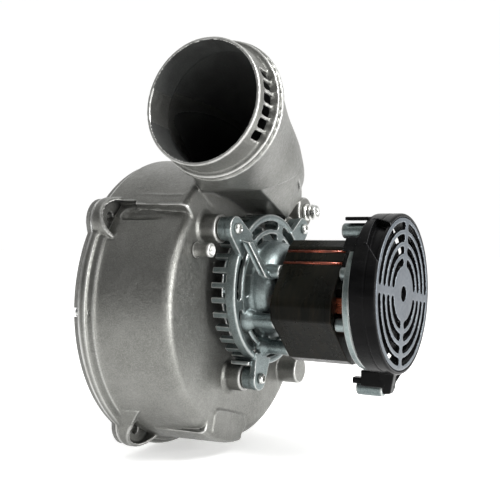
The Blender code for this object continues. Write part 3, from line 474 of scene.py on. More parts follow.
def soot_finish():
    """Flue-gas side of the housing: dull black soot over the casting."""
    make = Finish("sooty_inside")
    cloud = make.noise(60.0, 5.0, 0.65)
    fine = make.noise(900.0, 3.0)
    tone = make.mix(make.spread(cloud, 0.35, 0.7), (0.010, 0.010, 0.010), (0.030, 0.032, 0.030))
    tone = make.mix(make.spread(fine, 0.5, 0.75, 0.0, 0.3), tone, (0.060, 0.060, 0.056))
    skin = make.bump(fine, 0.5, 0.0003)
    return make.finish(tone, make.spread(cloud, 0.3, 0.7, 0.72, 0.92), skin, 0.1)


def turned_steel():
    make = Finish("zinc_plated_steel")
    rings = make.noise(900.0, 2.0, vector=make.stretched((6.0, 0.4, 0.4)))
    tone = make.mix(make.spread(make.noise(120.0, 4.0), 0.3, 0.7), (0.42, 0.43, 0.42), (0.62, 0.62, 0.59))
    # painted shade: concave corners darkened where light reaches less
    tone = make.mix(make.math("MULTIPLY", make.painted_hollow_shade(), 0.7), tone, (0.10, 0.10, 0.09))
    skin = make.bump(rings, 0.35, 0.0001)
    return make.finish(tone, make.spread(rings, 0.3, 0.7, 0.22, 0.42), skin, 0.95)


def aluminised_sheet():
    make = Finish("aluminised_sheet")
    roll = make.noise(700.0, 3.0, vector=make.stretched((1.0, 12.0, 0.6)))
    spangle = make.cells(160.0)
    tone = make.mix(make.spread(roll, 0.3, 0.7), (0.36, 0.36, 0.35), (0.52, 0.52, 0.50))
    tone = make.mix(make.spread(spangle, 0.1, 0.7, 0.0, 0.35), tone, (0.62, 0.63, 0.63))
    tone = make.mix(make.spread(make.noise(40.0, 5.0), 0.55, 0.8, 0.0, 0.5), tone, (0.20, 0.17, 0.13))
    skin = make.bump(roll, 0.25, 0.00012)
    return make.finish(tone, make.spread(roll, 0.3, 0.7, 0.30, 0.48), skin, 0.85)


def gasket_fibre():
    make = Finish("gasket_fibre")
    fibre = make.noise(1400.0, 4.0, 0.7, vector=make.stretched((1.0, 1.0, 0.25)))
    tone = make.mix(make.spread(fibre, 0.3, 0.7), (0.10, 0.10, 0.096), (0.24, 0.24, 0.23))
    skin = make.bump(fibre, 0.7, 0.0003)
    return make.finish(tone, make.spread(fibre, 0.3, 0.7, 0.82, 0.96), skin)


def varnished_laminations():
    """Stacked electrical steel under dark baked varnish, with brown drips and faint sheet edges."""
    make = Finish("varnished_laminations")
    x = make.place()[0]
    sheets = make.math("SINE", make.math("MULTIPLY", x, 2 * pi / 0.00065))
    run = make.noise(60.0, 4.0, 0.6, vector=make.stretched((1.0, 1.0, 0.22)), distortion=0.5)
    streak = make.noise(420.0, 3.0, 0.6, vector=make.stretched((1.0, 0.15, 0.15)))
    tone = make.mix(make.spread(run, 0.3, 0.7), (0.0016, 0.0020, 0.0017), (0.0056, 0.0056, 0.0042))
    tone = make.mix(make.spread(streak, 0.45, 0.75, 0.0, 0.5), tone, (0.013, 0.010, 0.006))
    tone = make.mix(make.spread(sheets, 0.6, 1.0, 0.0, 0.22), tone, (0.015, 0.014, 0.011))
    # painted highlight: convex edges of the stack lightened to warm brown, as light catching the varnish
    tone = make.mix(make.math("MULTIPLY", make.edges(0.52, 0.57), 0.35), tone, (0.06, 0.04, 0.026))
    skin = make.bump(sheets, 0.10, 0.00012)
    skin = make.bump(run, 0.25, 0.0010, skin)
    skin = make.bump(streak, 0.12, 0.0003, skin)
    return make.finish(tone, make.spread(run, 0.3, 0.7, 0.20, 0.36), skin, 0.0, specular=0.09)


def enamelled_copper(name="enamelled_copper", dark=(0.16, 0.030, 0.012), light=(0.46, 0.120, 0.055)):
    """Copper under red enamel, laid in fine strands."""
    make = Finish(name)
    strands = make.noise(900.0, 2.0, 0.5, vector=make.stretched((0.08, 1.0, 1.0)))
    cloud = make.noise(110.0, 4.0, 0.6)
    tone = make.mix(make.spread(strands, 0.3, 0.7), dark, light)
    tone = make.mix(make.spread(cloud, 0.45, 0.72, 0.0, 0.75), tone, (0.035, 0.014, 0.008))
    skin = make.bump(strands, 0.5, 0.0003)
    return make.finish(tone, make.spread(cloud, 0.3, 0.7, 0.20, 0.40), skin, 0.7, coat=0.4)


def sintered_bronze():
    make = Finish("sintered_bronze")
    pores = make.noise(2400.0, 3.0)
    tone = make.mix(make.spread(pores, 0.35, 0.7), (0.16, 0.09, 0.035), (0.42, 0.27, 0.12))
    return make.finish(tone, make.spread(pores, 0.3, 0.7, 0.40, 0.62), make.bump(pores, 0.5, 0.0001), 0.85)


def black_moulding():
    """Glossy black thermoplastic: fine spark texture, faint flow lines and lint."""
    make = Finish("black_moulding")
    spark = make.noise(1900.0, 2.0)
    flow = make.noise(70.0, 4.0, 0.6, vector=make.stretched((0.5, 1.0, 1.0)), distortion=0.8)
    lint = make.noise(700.0, 5.0, 0.75)
    tone = make.mix(make.spread(flow, 0.3, 0.7), (0.0018, 0.0018, 0.0020), (0.0050, 0.0050, 0.0052))
    tone = make.mix(make.spread(lint, 0.64, 0.82, 0.0, 0.4), tone, (0.030, 0.031, 0.031))
    # painted highlight: grey lines along the convex edges of the black plastic
    tone = make.mix(make.math("MULTIPLY", make.edges(0.53, 0.60), 0.5), tone, (0.14, 0.14, 0.145))
    skin = make.bump(spark, 0.16, 0.00012)
    skin = make.bump(flow, 0.14, 0.0010, skin)
    return make.finish(tone, make.spread(flow, 0.3, 0.7, 0.16, 0.30), skin, specular=0.05)


def grille_paint():
    """Blue-grey satin paint, with a painted highlight along the slots' edges and painted shade in concave
    corners.
    """
    make = Finish("grille_paint")
    peel = make.noise(520.0, 3.0)
    cloud = make.noise(48.0, 4.0, 0.6)
    dust = make.noise(1300.0, 4.0, 0.7)
    tone = make.mix(make.spread(cloud, 0.3, 0.7), (0.036, 0.043, 0.052), (0.060, 0.069, 0.080))
    tone = make.mix(make.spread(dust, 0.52, 0.75, 0.0, 0.40), tone, (0.15, 0.17, 0.185))
    # painted highlight: light lines along the convex edges of the slots
    tone = make.mix(make.math("MULTIPLY", make.edges(0.52, 0.57), 0.6), tone, (0.40, 0.44, 0.47))
    # painted shade: concave corners darkened where light reaches less
    tone = make.mix(make.math("MULTIPLY", make.painted_hollow_shade(0.49, 0.44), 0.6), tone, (0.02, 0.025, 0.03))
    skin = make.bump(peel, 0.20, 0.0003)
    skin = make.bump(dust, 0.12, 0.00012, skin)
    return make.finish(tone, make.spread(peel, 0.3, 0.7, 0.34, 0.48), skin, 0.35)


def floor_finish():
    make = Finish("pale_floor")
    soft = make.noise(3.0, 4.0)
    tone = make.mix(make.spread(soft, 0.3, 0.7), (0.91, 0.91, 0.905), (0.94, 0.94, 0.935))
    make.wire((1.0, 1.0, 0.995), make.shader.inputs["Emission Color"])
    make.shader.inputs["Emission Strength"].default_value = FLOOR_GLOW
    skin = make.bump(make.noise(300.0), 0.05, 0.0005)
    return make.finish(tone, make.spread(soft, 0.3, 0.7, 0.75, 0.9), skin)


# ---------------------------------------------------------------- housing
def fillet(corner_x, corner_r, radius, steps=6):
    """Convex quarter round from a cylinder's side to its front face."""
    x, r = corner_x - radius, corner_r - radius
    return [(x + radius * sin(t), r + radius * cos(t)) for t in quarter(steps)]


def drum_profile():
    rise = 0.7
    points = [(FLANGE_BACK, 0.0), (FLANGE_BACK, FLANGE_R - rise), (FLANGE_BACK + rise, FLANGE_R)]
    points += [(FLANGE_FRONT - rise, FLANGE_R), (FLANGE_FRONT, FLANGE_R - rise),
               (FLANGE_FRONT, STEP_R + 0.6)]
    points += [(FLANGE_FRONT + 0.6, STEP_R), (STEP_FRONT - 0.6, STEP_R), (STEP_FRONT, STEP_R - 0.7)]
    points += [(STEP_FRONT + 0.2, WALL_R_BACK + 0.9), (STEP_FRONT + 1.8, WALL_R_BACK - 0.2)]
    points += [(FACE_X - FACE_FILLET + FACE_FILLET * sin(t), FACE_R + (WALL_R_FRONT - FACE_R) * cos(t))
               for t in quarter(8)]
    return points + [(FACE_X, 0.0)]


def cavity_profile():
    inside = FACE_X - WALL_T
    return [(FLANGE_BACK - 2.0, 0.0), (FLANGE_BACK - 2.0, CAVITY_R_BACK), (STEP_FRONT, CAVITY_R_BACK),
            (inside - 5.0, CAVITY_R_FRONT), (inside, CAVITY_R_FRONT - 5.0), (inside, 0.0)]


def duct_ring(centre, tilt, half_x, half_up, segments=72):
    up = Vector((0.0, sin(radians(tilt)), cos(radians(tilt))))
    side = Vector((1.0, 0.0, 0.0))
    turns = (2 * pi * k / segments for k in range(segments))
    return [Vector(centre) + side * half_x * cos(t) + up * half_up * sin(t) for t in turns]


def smooth_sections(shrink, steps=6):
    rows = [(*centre, tilt, half_x - shrink, half_up - shrink) for centre, tilt, half_x, half_up in DUCT]
    made = []
    for k in range(len(rows) - 1):
        before, start = rows[max(k - 1, 0)], rows[k]
        end, after = rows[k + 1], rows[min(k + 2, len(rows) - 1)]
        for step in range(steps):
            t = step / steps
            made.append([0.5 * (2 * b + (c - a) * t + (2 * a - 5 * b + 4 * c - d) * t * t
                                + (3 * b - 3 * c + d - a) * t ** 3)
                         for a, b, c, d in zip(before, start, end, after)])
    made.append(rows[-1])
    return [(tuple(row[:3]), row[3], row[4], row[5]) for row in made]


def collar_solid(rows):
    """Turned shape about the outlet direction, from (distance behind the open end, radius) rows."""
    return loft([duct_ring(OUTLET - OUT_DIR * back, OUTLET_TILT, radius, radius, 120)
                 for back, radius in rows])


def ear_centres(radius=EAR_RADIUS_FROM_AXIS):
    return [polar(radius, angle, AXIS) for angle in EAR_ANGLES]


def ear(angle, low=13.0, high=27.0):
    """Round mounting ear whose rim climbs from its outer end to the drum's wall."""
    centre = polar(EAR_RADIUS_FROM_AXIS, angle, AXIS)
    body = rod(EAR_R, FLANGE_BACK + 0.02, 30.0, centre, 48, 0.8)
    corners = []
    for radius, x in ((EAR_RADIUS_FROM_AXIS + 18.0, low - 3.0), (EAR_RADIUS_FROM_AXIS - 18.0, high + 6.0)):
        for x_at in (x, 50.0):
            for side in (-20.0, 20.0):
                y, z = polar(radius, angle, AXIS)
                corners.append((x_at, y - side * sin(radians(angle)), z + side * cos(radians(angle))))
    return cut(body, hull(corners))


def collar_slots():
    made = []
    round_r = 1.2
    for k in range(SLOT_COUNT):
        turn = radians(SLOT_FIRST + SLOT_PITCH * k)
        out = Vector((cos(turn), 0.0, 0.0)) + OUT_UP * sin(turn)
        across = OUT_DIR.cross(out)
        middle = OUTLET - OUT_DIR * SLOT_SETBACK
        corners = []
        for along in (-1, 1):
            for side in (-1, 1):
                for step in range(8):
                    t = 2 * pi * step / 8
                    a = along * (SLOT_LONG / 2 - round_r) + round_r * cos(t)
                    s = side * (SLOT_WIDE / 2 - round_r) + round_r * sin(t)
                    for depth in (COLLAR_R - 5.0, COLLAR_R + 3.0):
                        corners.append(middle + OUT_DIR * a + across * s + out * depth)
        made.append(hull(corners))
    return made


def capsule(radius, x0, x1, centre):
    profile = [(x0 + radius * (1 - cos(t)), radius * sin(t)) for t in quarter(6)]
    profile += [(x1 - radius * (1 - sin(t)), radius * cos(t)) for t in quarter(6)]
    return turned(profile, 32, centre)


def blower_housing(look, inside):
    body = turned(drum_profile(), 240, AXIS)
    crown_profile = [(FLANGE_BACK + 0.02, 40.0), (FLANGE_BACK + 0.02, FLANGE_R), (5.8, FLANGE_R + 0.2),
                     (CROWN_TAPER_TO, CROWN_R + 0.4)] + fillet(FACE_X - 0.01, CROWN_R, 4.5)
    crown = turned(crown_profile + [(FACE_X - 0.01, 40.0)], 90, AXIS, CROWN_FROM, CROWN_TO)
    pad = hull([(x, y, z) for y, z in PAD_LEFT for x in (PAD_BACK, FACE_X + PAD_PROUD)]
               + [(x, y, z) for y, z in PAD_RIGHT for x in (PAD_BACK, FACE_X + 0.5)])
    ledge_profile = [(LEDGE_BACK, 80.0), (LEDGE_BACK, LEDGE_R + 1.0)] + fillet(FACE_X + 0.4, LEDGE_R, 3.5)
    ledge = turned(ledge_profile + [(FACE_X + 0.4, 80.0)], 24, AXIS, LEDGE_FROM, LEDGE_TO)
    seam_profile = [(18.0, 99.0), (18.0, CROWN_R + 1.9), (CROWN_TAPER_TO, CROWN_R + 0.9),
                    (62.0, CROWN_R + 0.5), (62.0, 99.0)]
    seam = turned(seam_profile, 2, AXIS, SEAM_ANGLE - 0.35, SEAM_ANGLE + 0.35)
    ears = [ear(angle) for angle in EAR_ANGLES]
    bosses = [rod(BOSS_R, FACE_X - 5.0, BOSS_TOP, centre, 48, 0.7) for centre in LUGS]
    bosses += [rod(BOSS_R + 2.0, FACE_X - 5.0, FACE_X + 0.9, centre, 48, 0.8) for centre in LUGS]
    bosses.append(rod(10.0, 40.0, 83.0, SPARE_BOSS, 48, 0.7))
    bosses.append(rod(11.6, 20.0, 80.5, PORT, 48, 0.9))
    duct = loft([duct_ring(*row) for row in smooth_sections(0.0)])
    cut(duct, *under_elbow(0.0))
    bead = collar_solid([(COLLAR_LENGTH + off, radius) for off, radius in BEAD_ROWS])
    collar = collar_solid([(0.0, COLLAR_R - 0.5), (0.5, COLLAR_R), (COLLAR_LENGTH + 1.0, COLLAR_R)])
    join(body, crown, ledge, pad, seam, hull(EAR_WEB), *ears, *bosses, duct, hull(GUSSET), bead, collar)

    cavity = turned(cavity_profile(), 120, AXIS)
    columns = [rod(EAR_R - 0.4, 0.0, 32.0, centre, 32) for centre in ear_centres()]
    cut(cavity, *columns)
    way = loft([duct_ring(*row) for row in smooth_sections(WALL_T)[:-6]])
    cut(way, *under_elbow(WALL_T))
    bore = collar_solid([(-5.0, COLLAR_R - COLLAR_T), (COLLAR_LENGTH + 2.0, COLLAR_R - COLLAR_T)])
    tools = [cavity, way, bore, rod(8.0, 50.0, FACE_X + 5.0)]
    core = [(0.0, 0.0), (0.0, WALL_R_BACK - 2.5), (STEP_FRONT - 2.5, WALL_R_BACK - 2.5),
            (STEP_FRONT - 2.5, WALL_R_BACK - 0.4), (40.0, WALL_R_BACK - 0.4), (40.0, 0.0)]
    for centre in ear_centres():
        pocket = rod(EAR_POCKET_R, EAR_POCKET_FLOOR, 28.0, centre, 40, 0.6)
        tools.append(cut(pocket, turned(core, 200, AXIS)))
    tools += [rod(EAR_HOLE_R, 0.0, EAR_POCKET_FLOOR + 2.0, centre, 24)
              for centre in ear_centres(EAR_HOLE_AT)]
    tools += [rod(1.7, 0.0, 12.5, polar(PLATE_SCREW_RADIUS, a, AXIS), 16) for a in PLATE_SCREW_ANGLES]
    tools += [rod(3.4, 60.0, FACE_X + 3.0, TAP, 24), rod(3.4, 62.0, 84.0, PORT, 24)]
    tools.append(capsule(5.2, 17.0, 64.0, polar(99.6, 139.6, AXIS)))
    cut(body, *tools)
    cut(body, *collar_slots())
    soften(body, 0.75, 5, 0.45)

    sections = smooth_sections(0.0)
    sections += [(OUTLET - OUT_DIR * back, OUTLET_TILT, COLLAR_R, COLLAR_R)
                 for back in (0.5, 6.0, 12.0, 18.0)]
    return two_tone(body, "blower_housing", (look, inside),
                    lambda face: inside_duct(face, sections) or inside_drum(face))


def under_elbow(wall):
    """Cutters that keep the elbow, or its passage one wall further in, clear of the motor and the web."""
    back, front = FACE_X + GAP - wall, 130.0
    below = prism([(y, z + wall if z else z) for y, z in UNDER_DUCT], back, front)
    ahead = []
    for corner in GUSSET_FACE:
        inwards = Vector(corner) + Vector((-0.80, -0.09, 0.60)) * wall
        for spread in (-wall, wall):
            ahead.append(inwards + Vector((0.0, spread, 0.0)))
            ahead.append(inwards + Vector((40.0, spread, -55.0)))
    return rod(CLEAR_R + wall, back, front, segments=120), below, hull(ahead)


def inside_duct(face, sections):
    """Whether a face of the skin is on the duct's flue side: near its middle line and turned towards it."""
    point = face.center
    on_front = face.normal.x > 0.5 and abs(point.x - FACE_X) < 1.6
    if point.z < 40.0 or on_front:
        return False
    centre, tilt, half_x, half_up = min(sections, key=lambda row: (point - Vector(row[0])).length_squared)
    up = Vector((0.0, sin(radians(tilt)), cos(radians(tilt))))
    off = point - Vector(centre)
    reach = hypot(off.x / (half_x - 1.9), off.dot(up) / (half_up - 1.9))
    towards = face.normal.x * off.x + face.normal.dot(up) * off.dot(up)
    return reach < 1.0 and towards < 0.0


def inside_drum(face):
    y, z = face.center.y, face.center.z - DRUM_Z
    radius = hypot(y, z)
    outwards = (face.normal.y * y + face.normal.z * z) / max(radius, 1.0)
    near_ear = min(hypot(face.center.y - at[0], face.center.z - at[1]) for at in ear_centres())
    in_pocket = near_ear < EAR_R - 1.0 and face.center.x < 32.0
    low_enough = radius < CAVITY_R_BACK + 0.6 and face.center.x < FACE_X - WALL_T + 0.8
    return low_enough and outwards < 0.25 and face.normal.x < 0.4 and not in_pocket


# ---------------------------------------------------------------- inlet side
def eared_outline(radius, ear_radius, segments=240):
    outline = []
    for k in range(segments):
        angle = 360.0 * k / segments
        reach = radius
        for ear_angle in EAR_ANGLES:
            off = radians(angle - ear_angle)
            square = ear_radius ** 2 - (EAR_RADIUS_FROM_AXIS * sin(off)) ** 2
            if square > 0 and cos(off) > 0:
                reach = max(reach, EAR_RADIUS_FROM_AXIS * cos(off) + sqrt(square))
        outline.append(polar(reach, angle, AXIS))
    return outline


def inlet_side(sheet, fibre, steel):
    screws = [polar(PLATE_SCREW_RADIUS, angle, AXIS) for angle in PLATE_SCREW_ANGLES]
    gasket = prism(eared_outline(FLANGE_R - 2.0, EAR_R - 1.0), 0.0, 3.0)
    holes = [rod(EAR_HOLE_R + 0.3, -1.0, 4.0, centre, 24) for centre in ear_centres(EAR_HOLE_AT)]
    holes += [rod(4.2, -1.0, 4.0, centre, 24) for centre in screws]
    piece(crisp(cut(gasket, rod(INLET_R + 5.0, -1.0, 4.0, segments=120), *holes)), "inlet_gasket", fibre)

    plate = prism(eared_outline(FLANGE_R - 1.0, EAR_R - 0.6), 3.3, 4.9)
    holes = [rod(EAR_HOLE_R, 0.0, 8.0, centre, 24) for centre in ear_centres(EAR_HOLE_AT)]
    holes += [rod(2.0, 0.0, 8.0, centre, 16) for centre in screws]
    cut(plate, rod(INLET_R + 1.5, 0.0, 8.0, segments=120), *holes)
    bend = 3.2
    lip = [(3.3, INLET_R + 1.6 + bend), (4.9, INLET_R + 1.6 + bend)]
    lip += [(4.9 + bend * (1 - cos(t)), INLET_R + 1.6 + bend * (1 - sin(t))) for t in quarter(6)]
    lip += [(13.0, INLET_R + 1.6), (13.0, INLET_R)]
    lip += [(8.1 - (bend + 1.6) * sin(t), INLET_R + (bend + 1.6) * (1 - cos(t))) for t in quarter(6)]
    piece(soften(join(plate, turned(lip, 160)), 0.6, 3, 0.25), "inlet_plate", sheet)
    for k, centre in enumerate(screws):
        head = [(0.8, 0.0), (0.8, 2.6), (1.3, 3.4), (3.0, 3.4), (3.0, 1.4), (12.0, 1.4), (12.0, 0.0)]
        made = cut(turned(head, 24, centre), rod(1.5, 0.0, 1.9, centre, 6))
        piece(crisp(made, bevel=0.15), f"inlet_plate_screw_{k + 1}", steel)


def front_fittings(cast, steel, fibre):
    tap = [(62.0, 2.2), (62.0, 3.1), (FACE_X + GAP, 3.1), (FACE_X + GAP, 5.0), (68.6, 5.3), (69.6, 4.5),
           (77.6, 4.3), (78.0, 4.6), (79.6, 4.6), (80.0, 4.2), (80.0, 2.9), (72.0, 2.6)]
    piece(turned(tap, 48, TAP), "pressure_tap", cast)
    port = [(66.0, 1.8), (66.0, 3.1), (80.8, 3.1), (80.8, 6.0), (81.2, 6.4), (82.6, 6.4), (83.0, 6.0),
            (83.2, 5.0), (84.4, 5.0), (84.8, 5.9), (86.0, 5.9), (86.4, 5.0), (87.4, 5.0), (87.9, 5.7),
            (90.0, 5.0), (90.5, 4.3), (90.5, 2.2), (88.5, 1.8)]
    piece(turned(port, 60, PORT), "boss_port", steel)
    seal = [(FACE_X + GAP, SHAFT_R + 0.35), (FACE_X + GAP, 14.5), (68.2, 15.0), (69.4, 15.0), (69.8, 14.6),
            (70.4, 9.0), (70.4, SHAFT_R + 0.35)]
    piece(turned(seal, 72), "shaft_seal", fibre)


# ---------------------------------------------------------------- motor bracket
def blocked_by_boss(angle):
    y, z = polar((RING_IN + RING_OUT) / 2, angle)
    return any(hypot(y - c[0], z - c[1]) < BOSS_R + 4.2 for c in LUGS)


def slanted_bar(shrink=0.0, y_low=-BAR_HALF_Y, y_high=BAR_HALF_Y):
    half_x = BAR_HALF_X - shrink
    top, bottom = Vector(BAR_TOP), Vector(BAR_BOTTOM)
    along = (bottom - top).normalized()
    made = []
    for end in (top + along * shrink, bottom - along * shrink):
        for off_y in (y_low, y_high):
            for off_x in (-half_x, half_x):
                made.append(end + Vector((off_x, off_y, -off_x * 0.25)))
    return made


def motor_bracket(look):
    """Finned ring, slotted plate, hub dome over the bearing seat, lugs on stand-offs and stack posts."""
    outside = [(PLATE_FRONT, 36.0), (91.2, 34.4), (92.6, 33.3)]
    outside += [(DOME_FRONT - 12.0 + 12.0 * sin(t), DOME_R - 9.2 + 9.2 * cos(t)) for t in quarter(10)]
    inner_r = DOME_R - DOME_WALL - 9.2
    inside = [(DOME_FRONT - 13.5 + 11.0 * sin(t), inner_r + 9.2 * cos(t)) for t in quarter(6)]
    profile = [(PLATE_BACK, DOME_R - DOME_WALL), (PLATE_BACK, RING_IN), (83.6, RING_IN), (83.6, RING_OUT),
               (89.8, RING_OUT), (PLATE_FRONT, RING_OUT - 0.7), (PLATE_FRONT, 48.6),
               (PLATE_FRONT - 0.7, 48.0), (PLATE_FRONT - 0.7, 40.6), (PLATE_FRONT, 40.0), *outside,
               (DOME_FRONT, 8.6), (103.5, 8.6), (103.5, BEARING_OUT + GAP), (93.2, BEARING_OUT + GAP),
               (93.2, 6.0), (91.0, 6.0), (91.0, 13.5), (102.6, 13.5), *reversed(inside)]
    body = turned(profile, 160)
    lugs, fins, slots, holes = [], [], [], []
    for centre in LUGS:
        angle = degrees(atan2(centre[1], centre[0]))
        toe = [polar(LUG_R, angle + turn, centre) for turn in range(-90, 91, 10)]
        root = [polar(RING_IN - 0.5, angle + 13.0), polar(RING_IN - 0.5, angle - 13.0)]
        lugs.append(prism(toe + root, PLATE_BACK, PLATE_FRONT + 0.8))
        lugs.append(rod(STAND_OFF_R, BOSS_TOP + GAP, PLATE_FRONT - 1.0, centre, 40, 0.5))
        holes.append(rod(LUG_HOLE_R, PLATE_BACK - 12.0, PLATE_FRONT + 5.0, centre, 24))
    for k in range(FIN_COUNT):
        angle = 360.0 * (k + 0.5) / FIN_COUNT
        half = degrees(FIN_WIDE / 2 / RING_OUT)
        outline = [polar(RING_IN + 0.2, angle - half), polar(RING_OUT - 0.3, angle - half),
                   polar(RING_OUT - 0.3, angle + half), polar(RING_IN + 0.2, angle + half)]
        if not blocked_by_boss(angle):
            fins.append(prism(outline, FIN_BACK, 84.5))
    for k in range(SLOT_GROUPS):
        middle = SLOT_GROUP_CENTRE + 360.0 * k / SLOT_GROUPS
        half = SLOT_GROUP_SPAN / 2
        slots.append(prism(arc_slot(*OUTER_SLOT, middle - half + 4, middle + half - 4), 80.0, 95.0))
        slots.append(prism(arc_slot(*INNER_SLOT, middle - half + 6, middle - 2.6), 80.0, 93.5))
        slots.append(prism(arc_slot(*INNER_SLOT, middle + 2.6, middle + half - 6), 80.0, 93.5))
    join(body, *lugs, *fins)
    cut(body, *slots)
    posts = [rod(POST_R, PLATE_BACK + 0.5, STACK_BACK - GAP, centre, 32, 0.5)
             for centre in (*BOLTS, SPARE_POST)]
    foot = [(PLATE_BACK + 0.5, 0.0), (PLATE_BACK + 0.5, 8.4), (91.4, 7.0), (94.6, 5.2), (96.4, 0.0)]
    posts += [turned(foot, 32, centre) for centre in (BOLTS[0], BOLTS[3], SPARE_POST)]
    leg = block((74.0, 88.0), (-29.0, -8.0), (-49.8, -47.2))
    join(body, *posts, hull(slanted_bar()), leg)
    threads = [rod(BOLT_R + GAP, 93.5, STACK_BACK + 2.0, centre, 20) for centre in BOLTS]
    sunk = hull(slanted_bar(BAR_FRAME, -9.0, BAR_RECESS - BAR_HALF_Y))
    cut(body, *holes, *threads, sunk)
    return piece(soften(body, 0.55, 4, 0.5), "motor_bracket", look)


def screw_with_recess(head, centre, recess, depth, sides=6):
    made = turned(head, 40, centre)
    top = max(x for x, radius in head)
    return cut(made, rod(recess, top - depth, top + 2.0, centre, sides))


def bracket_screws(look):
    base = PLATE_FRONT + 0.8 + GAP
    head = [(74.0, 0.0), (74.0, 1.7), (74.6, 2.0), (base, 2.0), (base, 3.6), (base + 1.0, 3.6), (93.5, 3.3),
            (94.0, 2.8), (94.2, 2.3), (94.2, 0.0)]
    for k, centre in enumerate(LUGS):
        piece(crisp(screw_with_recess(head, centre, 2.2, 2.6), bevel=0.12), f"bracket_screw_{k + 1}", look)


# ---------------------------------------------------------------- motor
def stack_outline():
    left = [(-y, z) for y, z in STACK_HALF[1:-1]]
    right = [(y, z) for y, z in reversed(STACK_HALF[1:-1])]
    return left + right


def groove_frames():
    upper, lower = Vector((15.0, 30.0)), Vector((26.0, 15.8))
    for side in (-1, 1):
        along = (lower - upper).normalized()
        out = Vector((-along.y, along.x))
        for reach in (0.20, 0.72):
            middle = upper.lerp(lower, reach)
            yield [Vector((side * v.x, v.y)) for v in (middle, along, out)]


def groove_outline(middle_along_out, half, outer, inner):
    middle, along, out = middle_along_out
    corners = ((-half, outer), (half, outer), (half, -inner), (-half, -inner))
    return [tuple(middle + along * a + out * b) for a, b in corners]


def motor(varnish, copper, red, cast, steel, bronze):
    stack = prism(stack_outline(), STACK_BACK, STACK_FRONT)
    tools = [rod(BORE_R, 100.0, 160.0, segments=96)]
    tools += [rod(BOLT_HOLE_R, 100.0, 160.0, centre, 24) for centre in BOLTS]
    tools += [block((100.0, 160.0), sorted((side * 22.0, side * 33.0)), WINDOW) for side in (-1, 1)]
    tools += [prism(groove_outline(row, 1.3, 1.5, 1.8), 100.0, 160.0) for row in groove_frames()]
    piece(soften(cut(stack, *tools), 0.5, 3, 0.4), "stator_stack", varnish)
    for k, row in enumerate(groove_frames()):
        middle, along, out = row
        arc = [tuple(middle + along * (1.05 * cos(t)) + out * (-0.5 + 0.9 * sin(t)))
               for t in (pi * step / 8 for step in range(9))]
        base = [tuple(middle - along * 1.05 - out * 1.4), tuple(middle + along * 1.05 - out * 1.4)]
        piece(prism(arc + base, STACK_BACK + 0.4, STACK_FRONT - 0.4), f"shading_bar_{k + 1}", red)

    coil = prism(sector(25.6, 28.9, -172.0, -8.0), 106.0, STACK_BACK - GAP)
    rear = prism(sector(25.6, 31.5, -172.0, -8.0), STACK_FRONT + GAP, 157.6)
    legs = [block((106.5, 157.0), sorted((side * 25.5, side * 31.0)), (-11.6, -1.6)) for side in (-1, 1)]
    piece(soften(join(coil, rear, *legs), 0.5, 6, 0.6), "stator_coil", copper)
    rear_shield(cast)
    head = [(SHIELD_FRONT + GAP, 0.0), (SHIELD_FRONT + GAP, 4.0), (SHIELD_FRONT + 2.8, 4.0),
            (SHIELD_FRONT + 2.8, 0.0)]
    for k, centre in enumerate(BOLTS):
        shank = rod(BOLT_R, 96.0, SHIELD_FRONT + 1.0, centre, 24)
        made = join(crisp(turned(head, 6, centre), bevel=0.4), shank)
        piece(made, f"through_bolt_{k + 1}", steel)
    for name, x0, x1 in (("front_bearing", 93.5, 103.2), ("rear_bearing", 157.2, 166.9)):
        rim = 1.2
        profile = [(x0, 4.3), (x0, BEARING_OUT - rim), (x0 + rim, BEARING_OUT), (x1 - rim, BEARING_OUT),
                   (x1, BEARING_OUT - rim), (x1, 4.3)]
        piece(turned(profile, 64), name, bronze)


def rear_shield(look):
    profile = [(SHIELD_BACK, 6.0), (SHIELD_BACK, SHIELD_R - 0.6), (SHIELD_BACK + 0.6, SHIELD_R),
               (SHIELD_FRONT + 1.0, SHIELD_R), (SHIELD_FRONT + 1.5, SHIELD_R - 0.5),
               (SHIELD_FRONT + 1.5, SHIELD_R - 2.4), (SHIELD_FRONT, SHIELD_R - 2.9), (SHIELD_FRONT, 6.0)]
    body = turned(profile, 180, (0.0, SHIELD_Z))
    seat = rod(13.5, 158.0, 168.2, segments=60, edge=0.6)
    posts = [rod(4.4, STACK_FRONT + GAP, SHIELD_FRONT - 0.5, centre, 32, 0.4) for centre in BOLTS]
    upper = rod(5.0, 150.5, COVER_BACK - 0.7, COVER_EARS[0], 32, 0.5)
    lower = rod(5.0, 150.0, COVER_BACK - 0.7, COVER_EARS[1], 32, 0.5)
    arm = block((SHIELD_BACK + 0.2, SHIELD_FRONT - 0.2), (8.0, 16.0), (-62.0, -40.0))
    join(body, *posts, upper, lower, arm, seat)
    tools = [prism(arc_slot(21.0, 27.0, middle - half, middle + half), 150.0, 168.0)
             for middle, half in SHIELD_VENTS]
    tools += [rod(BEARING_OUT + GAP, 150.0, 166.9 + GAP, segments=60), rod(6.0, 150.0, 172.0)]
    tools += [rod(BOLT_HOLE_R, 150.0, 170.0, centre, 24) for centre in BOLTS]
    return piece(soften(cut(body, *tools), 0.5, 4, 0.5), "rear_shield", look)


